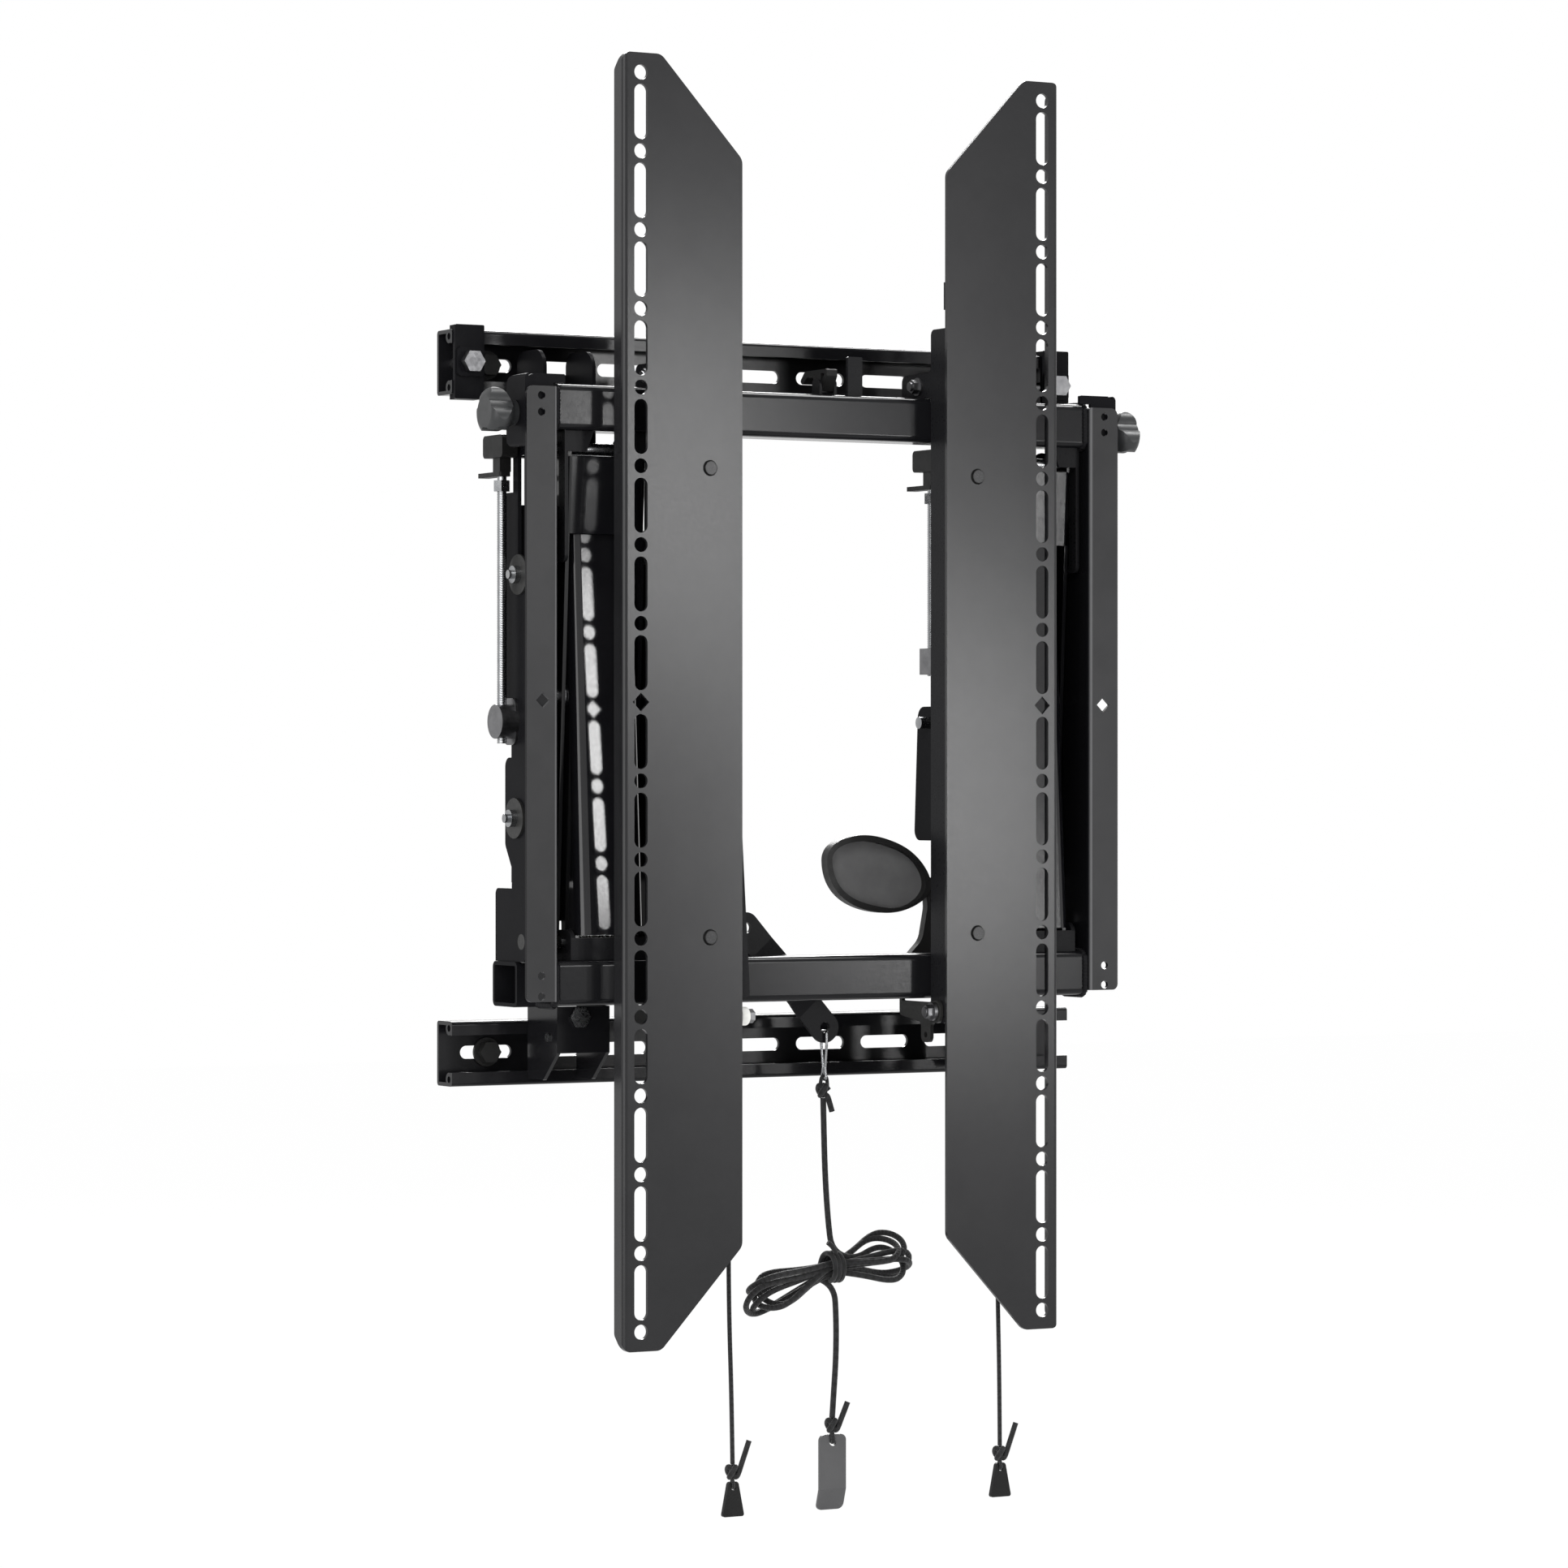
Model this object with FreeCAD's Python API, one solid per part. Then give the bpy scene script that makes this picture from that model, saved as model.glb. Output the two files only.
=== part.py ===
"""Pull-out wall mount for one display of a video wall: rails, scissor frame and display brackets.

Frame: origin on the wall plane, midway between the two rails; +X right, +Y into the wall, +Z up.
Lengths are millimetres. Depths from the wall are given as positive sizes and used as y = -depth.
"""
import FreeCAD, Part
import math
import os

V = FreeCAD.Vector

# Wall rails
rail_length = 467.5
rail_height = 42.0
rail_depth = 22.0
rail_wall = 2.5
rail_lip = 9.0
rail_roll_bore = 2.2
rail_spacing = 446.0
rail_slot_length = 37.0
rail_slot_width = 8.5
rail_slot_pitch = 50.0
rail_slot_margin = 33.0
rail_slot_side = int((rail_length / 2 - rail_slot_margin) / rail_slot_pitch)

# Display brackets
mount_depth = 124.0
sheet = 2.5
hole_column_x = 150.0
plate_inner_x = 76.5
plate_outer_x = 162.5
plate_half_height = 412.5
plate_middle_z = 3.0
plate_chamfer_x = 59.0
plate_chamfer_z = 64.0
plate_flange = 13.0
hole_pitch = 50.0
hole_radius = 4.75
hole_rows = 8
slot_length = 35.0
diamond_side = 8.5
hook_rail_x = 100.0
hook_rail_width = 46.0
hook_rail_bottom = -206.0
bend_radius = 3.0
rivet_z = 150.0
rivet_radius = 5.2

# Front frame
post_outer_x = 221.5
post_width = 22.5
post_depth = 33.0
post_bottom = -187.0
tube_height = 29.0
tube_depth = 30.0
tube_wall = 2.5
tube_corner = 4.0
lower_tube_z = -175.5

# Scissor arms
unit_x = 160.5
arm_length = 315.5
pivot_z = -150.0
closed_reach = 18.0
arm_shift = 3.85
outer_arm_half = 28.35
inner_arm_half = 23.85
arm_half_depth = 9.0
arm_bend = 8.0
inner_web_front = 17.0
inner_strip_front = 10.5
pin_radius = 5.0
slide_pin_radius = 4.0
running_fit = 0.05
open_angle = 34.0

# Back frame
channel_half = 44.5
back_tube_depth = 35.0
back_tube_height = 29.0
back_lower_z = -177.5
back_upper_depth = 16.0
back_upper_height = 24.0
hook_half = 19.0
lower_travel = 5.0
screw_radius = 3.0
screw_offset = 51.5

# Small gaps between pieces that move past each other
gap = 0.5
slide_gap = 1.0

# Places worked out from the sizes above
wall_pivot_depth = mount_depth - 60.0
front_pivot_depth = wall_pivot_depth + closed_reach
post_front = mount_depth - 19.0
tube_front = mount_depth - 23.0
channel_front = wall_pivot_depth + 6.0
back_tube_front = wall_pivot_depth - 2.0
back_upper_front = wall_pivot_depth
screw_depth = wall_pivot_depth - 13.5
arm_lean = math.degrees(math.asin(closed_reach / arm_length))
top_pin_z = pivot_z + arm_length * math.cos(math.radians(arm_lean))
open_pin_z = pivot_z + arm_length * math.cos(math.radians(arm_lean + open_angle))
upper_tube_z = top_pin_z + 25.5
back_upper_z = top_pin_z + 27.0
upper_tube_bottom = upper_tube_z - tube_height / 2
upper_tube_top = upper_tube_z + tube_height / 2
lower_tube_bottom = lower_tube_z - tube_height / 2
lower_tube_top = lower_tube_z + tube_height / 2
tube_back = tube_front - tube_depth
plate_back = mount_depth - sheet
post_inner_x = post_outer_x - post_width
post_top = upper_tube_top - 2.0
hook_rail_top = upper_tube_top + 45.0
rail_mouth = rail_height / 2 - rail_lip


def rounded_wire(points, place):
    """Closed wire through (a, b) or (a, b, radius) points, with tangent arcs at rounded corners."""
    corners = []
    count = len(points)
    for i, point in enumerate(points):
        here = V(point[0], point[1], 0)
        radius = point[2] if len(point) > 2 else 0
        if not radius:
            corners.append((here, None, here))
            continue
        before = V(*points[i - 1][:2], 0) - here
        after = V(*points[(i + 1) % count][:2], 0) - here
        before.normalize()
        after.normalize()
        half = before.getAngle(after) / 2
        reach = radius / math.tan(half)
        bisector = before + after
        bisector.normalize()
        middle = here + bisector * (radius / math.sin(half) - radius)
        corners.append((here + before * reach, middle, here + after * reach))
    edges = []
    for i, (start, middle, end) in enumerate(corners):
        if middle is not None:
            edges.append(Part.Arc(place(start), place(middle), place(end)).toShape())
        following = corners[(i + 1) % count][0]
        if (following - end).Length > 1e-6:
            edges.append(Part.LineSegment(place(end), place(following)).toShape())
    return Part.Wire(edges)


def plate_x(points, x0, x1):
    """Plate with a (y, z) outline between two x planes."""
    face = Part.Face(rounded_wire(points, lambda p: V(x0, p.x, p.y)))
    return face.extrude(V(x1 - x0, 0, 0))


def plate_y(points, y0, y1):
    """Plate with an (x, z) outline between two y planes."""
    face = Part.Face(rounded_wire(points, lambda p: V(p.x, y0, p.y)))
    return face.extrude(V(0, y1 - y0, 0))


def plate_z(points, z0, z1):
    """Plate with an (x, y) outline between two z planes."""
    face = Part.Face(rounded_wire(points, lambda p: V(p.x, p.y, z0)))
    return face.extrude(V(0, 0, z1 - z0))


def box(x0, x1, y0, y1, z0, z1):
    corner = V(min(x0, x1), min(y0, y1), min(z0, z1))
    return Part.makeBox(abs(x1 - x0), abs(y1 - y0), abs(z1 - z0), corner)


def rod(axis, start, radius, length):
    """Cylinder from a start point along one axis."""
    return Part.makeCylinder(radius, length, V(*start), V(*axis))


def hexagon(axis, start, across, length):
    """Hexagonal prism from a start point along one axis."""
    radius = across / math.sqrt(3)
    turns = [math.radians(60 * i) for i in range(6)]
    prism = plate_z([(radius * math.cos(a), radius * math.sin(a)) for a in turns], 0, length)
    turn = FreeCAD.Rotation(V(0, 0, 1), V(*axis))
    prism.Placement = FreeCAD.Placement(V(*start), turn)
    return prism


def rounded_box(a0, a1, b0, b1, radius):
    """Corner points of a rounded rectangle."""
    return [(a0, b0, radius), (a1, b0, radius), (a1, b1, radius), (a0, b1, radius)]


def stadium(a, b, length, width, along_first):
    """Points of a round-ended slot about a centre."""
    da, db = (length / 2, width / 2) if along_first else (width / 2, length / 2)
    end = width / 2 - 0.001
    return rounded_box(a - da, a + da, b - db, b + db, end)


def cut(shape, *tools):
    return shape.cut(Part.makeCompound(list(tools)))


def fuse(first, *others):
    return first.multiFuse(list(others)).removeSplitter()


def group(*solids):
    return Part.makeCompound([s for shape in solids for s in shape.Solids])


def mirrored(shape):
    """The same piece on the other side of the middle plane."""
    return shape.mirror(V(0, 0, 0), V(1, 0, 0))


def tube_x(x0, x1, front, depth, z, height, corner):
    """Rectangular tube along X with its front face at the given depth."""
    outer = rounded_box(-front, -front + depth, z - height / 2, z + height / 2, corner)
    inner = rounded_box(-front + tube_wall, -front + depth - tube_wall,
                        z - height / 2 + tube_wall, z + height / 2 - tube_wall, corner - tube_wall)
    return plate_x(outer, x0, x1).cut(plate_x(inner, x0, x1))


parts = {}


def make_rail(z):
    """Channel with rolled lips at its mouth and a row of slots through its web."""
    half = rail_height / 2
    r = rail_wall
    outline = [(0, z - half, r), (0, z + half, r), (-rail_depth, z + half, r), (-rail_depth, z + rail_mouth),
               (-rail_depth + r, z + rail_mouth), (-rail_depth + r, z + half - r), (-r, z + half - r),
               (-r, z - half + r), (-rail_depth + r, z - half + r), (-rail_depth + r, z - rail_mouth),
               (-rail_depth, z - rail_mouth), (-rail_depth, z - half, r)]
    rail = plate_x(outline, -rail_length / 2, rail_length / 2)
    roll = rail_lip / 2
    for lip_z in (z - half + roll, z + half - roll):
        start = (-rail_length / 2, -rail_depth + roll, lip_z)
        rail = fuse(rail, rod((1, 0, 0), start, roll, rail_length))
        rail = rail.cut(rod((1, 0, 0), start, rail_roll_bore, rail_length))
    slots = []
    for i in range(-rail_slot_side, rail_slot_side + 1):
        x = i * rail_slot_pitch
        slots.append(plate_y(stadium(x, z, rail_slot_length, rail_slot_width, True), -2 * r, r))
    return cut(rail, *slots)


upper_rail_z = rail_spacing / 2
lower_rail_z = -rail_spacing / 2
parts["upper_wall_rail"] = make_rail(upper_rail_z)
parts["lower_wall_rail"] = make_rail(lower_rail_z)

clamp_inset = 11.25
clamp_x = rail_length / 2 - clamp_inset
clamp_width = 21.0
clamp_wall = 3.0
clamp_bolt_radius = 4.0
clamp_seat = 2.0
clamp_seat_half = 9.5
clamp_tab = 9.0
anchor_washer = 9.4
anchor_washer_thick = 2.0
anchor_head_across = 13.0
anchor_head_height = 6.0
anchor_shank = 4.0


def make_anchor(x, z):
    """Lag bolt head, washer and the shank that fills the rail's slot."""
    web = -rail_wall
    washer = rod((0, -1, 0), (x, web, z), anchor_washer, anchor_washer_thick)
    head = hexagon((0, -1, 0), (x, web - anchor_washer_thick, z), anchor_head_across, anchor_head_height)
    shank = rod((0, 1, 0), (x, web, z), anchor_shank, rail_wall)
    return fuse(washer, head, shank)


def anchor_place():
    """Outermost slot whose washer stands clear of the end clamp's bolt and of the hook's cheeks."""
    stops = (clamp_x, unit_x - hook_half, unit_x + hook_half)
    room = anchor_washer + clamp_bolt_radius + gap
    slots = [i * rail_slot_pitch for i in range(rail_slot_side, -1, -1)]
    return next(x for x in slots if all(abs(x - stop) >= room for stop in stops))


anchor_slot_x = anchor_place()
anchors = [make_anchor(sx * anchor_slot_x, z) for sx in (-1, 1) for z in (lower_rail_z, upper_rail_z)]
parts["rail_anchor_bolts"] = group(*anchors)


def make_clamp(x):
    """Folded clamp across the mouth of the upper rail: tabs over and under its lips, and a bolt seat."""
    z = upper_rail_z
    half = clamp_width / 2
    tall = rail_height / 2 + clamp_wall
    front = -rail_depth - clamp_wall
    bridge = plate_y(rounded_box(x - half, x + half, z - tall, z + tall, 1), front, -rail_depth)
    tabs = [box(x - half + 2, x + half - 2, -rail_depth, -rail_depth + clamp_tab, a, a + clamp_wall)
            for a in (z - tall, z + tall - clamp_wall)]
    s = clamp_seat_half
    c = s - clamp_seat
    seat = plate_y([(x - s, z - c), (x - c, z - s), (x + c, z - s), (x + s, z - c), (x + s, z + c),
                    (x + c, z + s), (x - c, z + s), (x - s, z + c)], front - clamp_seat, front)
    deep = clamp_wall + clamp_seat + 2
    bolt_hole = rod((0, 1, 0), (x, front - clamp_seat - 1, z), clamp_bolt_radius, deep)
    return fuse(bridge, seat, *tabs).cut(bolt_hole)


def make_clamp_bolt(x):
    z = upper_rail_z
    seat = -rail_depth - clamp_wall - clamp_seat
    head = hexagon((0, -1, 0), (x, seat, z), anchor_head_across, anchor_head_height)
    reach = -seat - rail_wall
    shank = rod((0, 1, 0), (x, seat, z), clamp_bolt_radius, reach)
    return fuse(head, shank)


parts["rail_clamps"] = group(make_clamp(-clamp_x), make_clamp(clamp_x))
parts["rail_clamp_bolts"] = group(make_clamp_bolt(-clamp_x), make_clamp_bolt(clamp_x))

# Hooks that hang the back frame on the upper rail
channel_top = back_upper_z - back_upper_height / 2
hook_front = wall_pivot_depth - 19.0
hook_back = 26.0
hook_bottom = 140.0
hook_shoulder = 200.0
hook_dome = 232.0
hook_inside = 7.0
lip_clearance = 0.3
block_half = 5.5
block_front = screw_depth + 11.5
block_back = screw_depth - 16.5
block_top = channel_top - lower_travel - gap
block_bottom = block_top - 14.5
arm_front = hook_front
arm_back = hook_front - 9.0
clip_back = screw_depth - 27.5
clip_thick = 3.0
clip_bottom = block_bottom - 12.0
nut_across = 10.0
nut_height = 7.0
nut_top = clip_bottom - 2.5
screw_bottom = -23.0
screw_top = block_top - 6.5


def make_wall_hook(cx):
    """Folded bracket whose two side plates hook over the rail's lower lip."""
    lip_top = upper_rail_z - rail_mouth
    lip_back = -rail_depth + rail_lip
    notch_top = lip_top + lip_clearance
    profile = [(-hook_front, hook_bottom, 4), (-hook_back, hook_bottom, 4), (-hook_back, hook_shoulder),
               (-rail_depth - 1.0, hook_shoulder), (-rail_depth - 1.0, notch_top),
               (lip_back + 1.0, notch_top), (lip_back + 1.0, notch_top - rail_lip / 2),
               (-hook_inside, notch_top - rail_lip / 2, 2),
               (-hook_inside, hook_dome, 9), (-hook_front, hook_dome, 12)]
    left = plate_x(profile, cx - hook_half, cx - hook_half + sheet)
    right = plate_x(profile, cx + hook_half - sheet, cx + hook_half)
    web = box(cx - hook_half, cx + hook_half, -hook_front, -hook_front + sheet, hook_bottom, hook_shoulder)
    bracket = box(cx - screw_offset + block_half, cx - hook_half, -arm_front, -arm_back,
                  block_bottom + 1.0, block_top - 1.0)
    return fuse(left, right, web, bracket)


def make_screw_block(cx):
    """Bearing block for the top of the height screw, with the flat clip below it."""
    x = cx - screw_offset
    y = -screw_depth
    profile = rounded_box(-block_front, -block_back, block_bottom, block_top, 3)
    body = plate_x(profile, x - block_half, x + block_half)
    clip_top = clip_bottom + clip_thick
    neck = box(x - 4, x + 4, y - 5, y + 5, clip_top, block_bottom)
    clip = plate_z(rounded_box(x - 4, x + 4, y - 5, -clip_back, 1.5), clip_bottom, clip_top)
    deep = screw_top - clip_bottom + 2
    bore = rod((0, 0, 1), (x, y, clip_bottom - 1), screw_radius + running_fit, deep)
    return fuse(body, neck, clip).cut(bore)


def make_screw(cx, bottom):
    """Height screw with its hexagon nut just under the bearing block."""
    x = cx - screw_offset
    shaft = rod((0, 0, 1), (x, -screw_depth, bottom), screw_radius, screw_top - bottom)
    nut = hexagon((0, 0, 1), (x, -screw_depth, nut_top - nut_height), nut_across, nut_height)
    return fuse(shaft, nut)


# Back frame: two side channels joined by two cross tubes, carried by the hooks
strap_depth = wall_pivot_depth - 27.0
bump_depth = wall_pivot_depth - 23.0
side_depth = wall_pivot_depth - 13.5
box_depth = wall_pivot_depth - 37.0
channel_bottom = back_lower_z + back_tube_height / 2
channel_web_depth = wall_pivot_depth - 11.5
channel_web_top = 130.0
channel_web_bottom = -112.0
guide_upper = (wall_pivot_depth - 2.0, 85.0)
guide_lower = (wall_pivot_depth - 7.5, -71.0)
side_bolt = (wall_pivot_depth - 3.0, -102.0)
guide_radius = 4.0
washer_radius = 13.0
track_end = 4.5


def channel_profile():
    """Outline of a side plate, seen from the side."""
    return [(-channel_front, channel_bottom, 4), (-box_depth, channel_bottom), (-box_depth, -116, 4),
            (-side_depth, -116), (-side_depth, -103), (-bump_depth, -88, 6), (-bump_depth, -32, 6),
            (-side_depth, -32), (-side_depth, -20), (-strap_depth, -20, 3), (-strap_depth, 138, 6),
            (-channel_web_depth, 138), (-channel_web_depth, channel_top), (-channel_front, channel_top, 3)]


def make_side_channel(cx, guides):
    """Channel with shaped side plates, slotted for the arm's slide pin and bored for its pivot."""
    left = plate_x(channel_profile(), cx - channel_half, cx - channel_half + sheet)
    right = plate_x(channel_profile(), cx + channel_half - sheet, cx + channel_half)
    web = box(cx - channel_half, cx + channel_half, -channel_web_depth, -channel_web_depth + sheet,
              channel_web_bottom, channel_web_top)
    body = fuse(left, right, web)
    x0 = cx - channel_half - 1
    width = 2 * channel_half + 2
    travel = top_pin_z - open_pin_z
    middle = (top_pin_z + open_pin_z) / 2
    slot = plate_x(stadium(-wall_pivot_depth, middle, travel + 2 * (slide_pin_radius + track_end) - 1,
                           2 * (slide_pin_radius + gap), False), x0, x0 + width)
    pivot = rod((1, 0, 0), (x0, -wall_pivot_depth, pivot_z), pin_radius, width)
    holes = [rod((1, 0, 0), (x0, -d, z), guide_radius, width / 3) for d, z in guides]
    return cut(body, slot, pivot, *holes)


def make_guides(cx, guides):
    """Cap screws with large dark washers on the outer side plate."""
    x = cx - channel_half
    screws = []
    washers = []
    for depth, z in guides:
        ring = rod((-1, 0, 0), (x, -depth, z), washer_radius, 1.6)
        hole = rod((-1, 0, 0), (x + 1, -depth, z), guide_radius, 4)
        washers.append(ring.cut(hole))
        head = rod((-1, 0, 0), (x - 1.6, -depth, z), guide_radius + 1.6, 4)
        stub = rod((-1, 0, 0), (x - 5.6, -depth, z), guide_radius - 1.2, 3)
        shank = rod((1, 0, 0), (x - 1.6, -depth, z), guide_radius, 1.6 + sheet + 3)
        screws.append(fuse(head, stub, shank))
    return screws, washers


def make_side_bolt():
    """Small hexagon bolt on the right side channel, above the cable dish."""
    d, z = side_bolt
    return hexagon((-1, 0, 0), (lock_x, -d, z), 7.0, 4.5)


trunnion_radius = 11.0
trunnion_length = 12.0
square_nut_length = 11.5
trunnion_z = -9.0
square_nut_z = 33.0
square_nut_half = 8.75


def make_trunnion(cx, z, square):
    """Cross nut that climbs the height screw: a round barrel, or a square block."""
    x0 = cx - channel_half
    if square:
        h = square_nut_half
        body = box(x0 - square_nut_length, x0, -screw_depth - h, -screw_depth + h, z - h, z + h)
    else:
        body = rod((-1, 0, 0), (x0, -screw_depth, z), trunnion_radius, trunnion_length)
        seat = plate_x(rounded_box(-screw_depth - 9, -screw_depth + 9, z - 15, z + 15, 6), x0 - 1.5, x0)
        body = fuse(body, seat)
    bore = rod((0, 0, 1), (cx - screw_offset, -screw_depth, z - 20), screw_radius + 0.3, 40)
    return body.cut(bore)


foot_bottom = -222.0
foot_front = wall_pivot_depth + 0.5
foot_claw = (-240.0, 20.0)
foot_back = rail_depth + 0.3
foot_bolt_x = -2.8
foot_bolt_z = -199.0
foot_rivet = (12.0, -212.0)


def make_foot(cx):
    """Three-sided foot under the lower cross tube, with slanted side claws that stand off the lower rail."""
    top = back_lower_z - back_tube_height / 2
    front = box(cx - hook_half, cx + hook_half, -foot_front, -foot_front + sheet, foot_bottom, top)
    claw_bottom, claw_slope = foot_claw
    profile = [(-foot_front, foot_bottom), (-foot_front + claw_slope, claw_bottom, 2),
               (-foot_back, claw_bottom, 3), (-foot_back, top), (-foot_front, top)]
    sides = [plate_x(profile, x, x + sheet) for x in (cx - hook_half, cx + hook_half - sheet)]
    hole = rod((0, 1, 0), (cx + foot_bolt_x, -foot_front - 1, foot_bolt_z), clamp_bolt_radius, sheet + 2)
    return fuse(front, *sides).cut(hole)


def make_foot_bolt(cx):
    start = (cx + foot_bolt_x, -foot_front, foot_bolt_z)
    head = hexagon((0, -1, 0), start, anchor_head_across, 2.0)
    shank = rod((0, 1, 0), start, clamp_bolt_radius, sheet + 4)
    return fuse(head, shank)


def make_foot_rivet(cx):
    """Small round rivet head on the left face of a foot."""
    inset, z = foot_rivet
    return rod((-1, 0, 0), (cx - hook_half, -foot_front + inset, z), 3.0, 1.2)


lock_x = unit_x - channel_half
lock_pivot = (strap_depth + 5.0, -8.0)
lock_drop = 79.0
lock_rise = 11.0
lock_front_top = 10.0
lock_front_bottom = 9.0
lock_back_top = 15.0
lock_back_bottom = 20.0
lock_head_length = 8.0
lock_bottom = lock_pivot[1] - lock_drop
lock_wall = 3.0
lock_pin_radius = 3.0


def make_lock_lever():
    """Flat hanging lever on the right side channel."""
    d, z = lock_pivot
    x1 = lock_x - slide_gap
    outline = [(-d - lock_front_top, z + lock_rise, 8), (-d - lock_front_bottom, lock_bottom, 7),
               (-d + lock_back_bottom, lock_bottom, 7), (-d + lock_back_top, z + lock_rise, 8)]
    bar = plate_x(outline, x1 - lock_wall, x1)
    return bar.cut(rod((1, 0, 0), (x1 - lock_wall - 1, -d, z), lock_pin_radius + running_fit, lock_wall + 2))


def make_lock_pin():
    """Stub pivot of the lock lever."""
    d, z = lock_pivot
    x1 = lock_x - slide_gap - lock_wall - gap
    shank = rod((1, 0, 0), (x1, -d, z), lock_pin_radius, lock_x - x1)
    head = rod((-1, 0, 0), (x1, -d, z), lock_pin_radius + 1, lock_head_length)
    return fuse(shank, head)


sides = (("left", -unit_x), ("right", unit_x))
blocks = []
nuts = []
feet = []
frame_bolts = [make_lock_pin(), make_side_bolt()]
guide_washers = []
for side, cx in sides:
    square = side == "right"
    nut_z = square_nut_z if square else trunnion_z
    bottom = nut_z - square_nut_half - 1 if square else screw_bottom
    parts[side + "_wall_hook"] = make_wall_hook(cx)
    parts[side + "_height_screw"] = make_screw(cx, bottom)
    guides = (guide_upper,) if square else (guide_upper, guide_lower)
    parts[side + "_side_channel"] = make_side_channel(cx, guides)
    blocks.append(make_screw_block(cx))
    nuts.append(make_trunnion(cx, nut_z, square))
    feet.append(make_foot(cx))
    screws, washers = make_guides(cx, guides)
    frame_bolts += screws
    frame_bolts += [make_foot_bolt(cx), make_foot_rivet(cx)]
    guide_washers += washers
parts["screw_blocks"] = group(*blocks)
parts["cross_nuts"] = group(*nuts)
parts["column_feet"] = group(*feet)
parts["back_frame_bolts"] = group(*frame_bolts)
parts["guide_washers"] = group(*guide_washers)
parts["lock_lever"] = make_lock_lever()
back_tube_end = unit_x + channel_half + 2.0
parts["lower_back_tube"] = tube_x(-back_tube_end, back_tube_end, back_tube_front, back_tube_depth,
                                  back_lower_z, back_tube_height, tube_corner)
parts["upper_back_tube"] = tube_x(-back_tube_end, back_tube_end, back_upper_front, back_upper_depth,
                                  back_upper_z, back_upper_height, tube_corner)


def arm_outline(front, back):
    """Side outline of an arm that stands on its lower pivot."""
    return [(-front, -arm_half_depth, arm_half_depth - 1), (back, -arm_half_depth, arm_half_depth - 1),
            (back, arm_length + arm_half_depth, arm_half_depth - 1),
            (-front, arm_length + arm_half_depth, arm_half_depth - 1)]


def lean(shape, depth, degrees):
    """Stand a piece that was drawn upright on its lower pivot at its place and lean."""
    shape.Placement = FreeCAD.Placement(V(0, -depth, pivot_z), FreeCAD.Rotation(V(1, 0, 0), degrees))
    return shape


outer_web = (0.83 * arm_length, arm_length - 4.5)
outer_back_web = (0.04 * arm_length, 0.38 * arm_length)
inner_web = (4.0, 0.83 * arm_length)
centre_z = arm_length / 2


def bent_web(ax, half, front, back, bend, reach):
    """Front web of an arm with its two rounded bends, over a range of heights."""
    t = sheet
    return plate_z([(ax - half, back), (ax - half, -front, bend), (ax + half, -front, bend),
                    (ax + half, back), (ax + half - t, back), (ax + half - t, -front + t, bend - t),
                    (ax - half + t, -front + t, bend - t), (ax - half + t, back)], *reach)


def arm_strips(ax, half, front, bend, reach):
    """The two side strips of an arm, cleared where its bent web takes over."""
    room = box(ax - half - 1, ax + half + 1, -front - 1, -front + bend, *reach)
    outline = arm_outline(front, arm_half_depth)
    return [plate_x(outline, x, x + sheet).cut(room) for x in (ax - half, ax + half - sheet)]


def make_outer_arm(ax):
    """Pair of outer strips joined by a front web at the top and a back web below the crossing."""
    half = outer_arm_half
    d = arm_half_depth
    front = bent_web(ax, half, d, d, bend_radius, outer_web)
    back = box(ax - half, ax + half, d - sheet, d, *outer_back_web)
    body = fuse(front, back, *arm_strips(ax, half, d, bend_radius, outer_web))
    holes = [rod((1, 0, 0), (ax - half - 1, 0, 0), pin_radius + running_fit, 2 * half + 2),
             rod((1, 0, 0), (ax - half - 1, 0, centre_z), pin_radius, 2 * half + 2),
             rod((1, 0, 0), (ax - half - 1, 0, arm_length), slide_pin_radius, 2 * half + 2)]
    return lean(cut(body, *holes), wall_pivot_depth, arm_lean)


def make_inner_arm(ax):
    """Channel that runs between the outer strips, with its web to the front."""
    half = inner_arm_half
    web = bent_web(ax, half, inner_web_front, arm_half_depth, arm_bend, inner_web)
    body = fuse(web, *arm_strips(ax, half, inner_strip_front, arm_bend, inner_web))
    holes = [rod((1, 0, 0), (ax - half - 1, 0, z), r, 2 * half + 2)
             for z, r in ((0, slide_pin_radius + running_fit), (centre_z, pin_radius + running_fit),
                          (arm_length, slide_pin_radius))]
    return lean(cut(body, *holes), front_pivot_depth, -arm_lean)


pin_end = 2.5


def make_centre_pin(ax):
    """Pivot pin through both arms, with collars that keep them apart."""
    half = outer_arm_half + pin_end
    pin = rod((1, 0, 0), (ax - half, 0, centre_z), pin_radius, 2 * half)
    slack = outer_arm_half - sheet - inner_arm_half
    collars = [rod((1, 0, 0), (x, 0, centre_z), pin_radius + 3, slack - gap)
               for x in (ax - outer_arm_half + sheet, ax + inner_arm_half + gap)]
    return lean(fuse(pin, *collars), wall_pivot_depth, arm_lean)


def make_slide_pin(cx, half, depth, degrees):
    pin = rod((1, 0, 0), (cx - half, 0, arm_length), slide_pin_radius, 2 * half)
    return lean(pin, depth, degrees)


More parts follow.
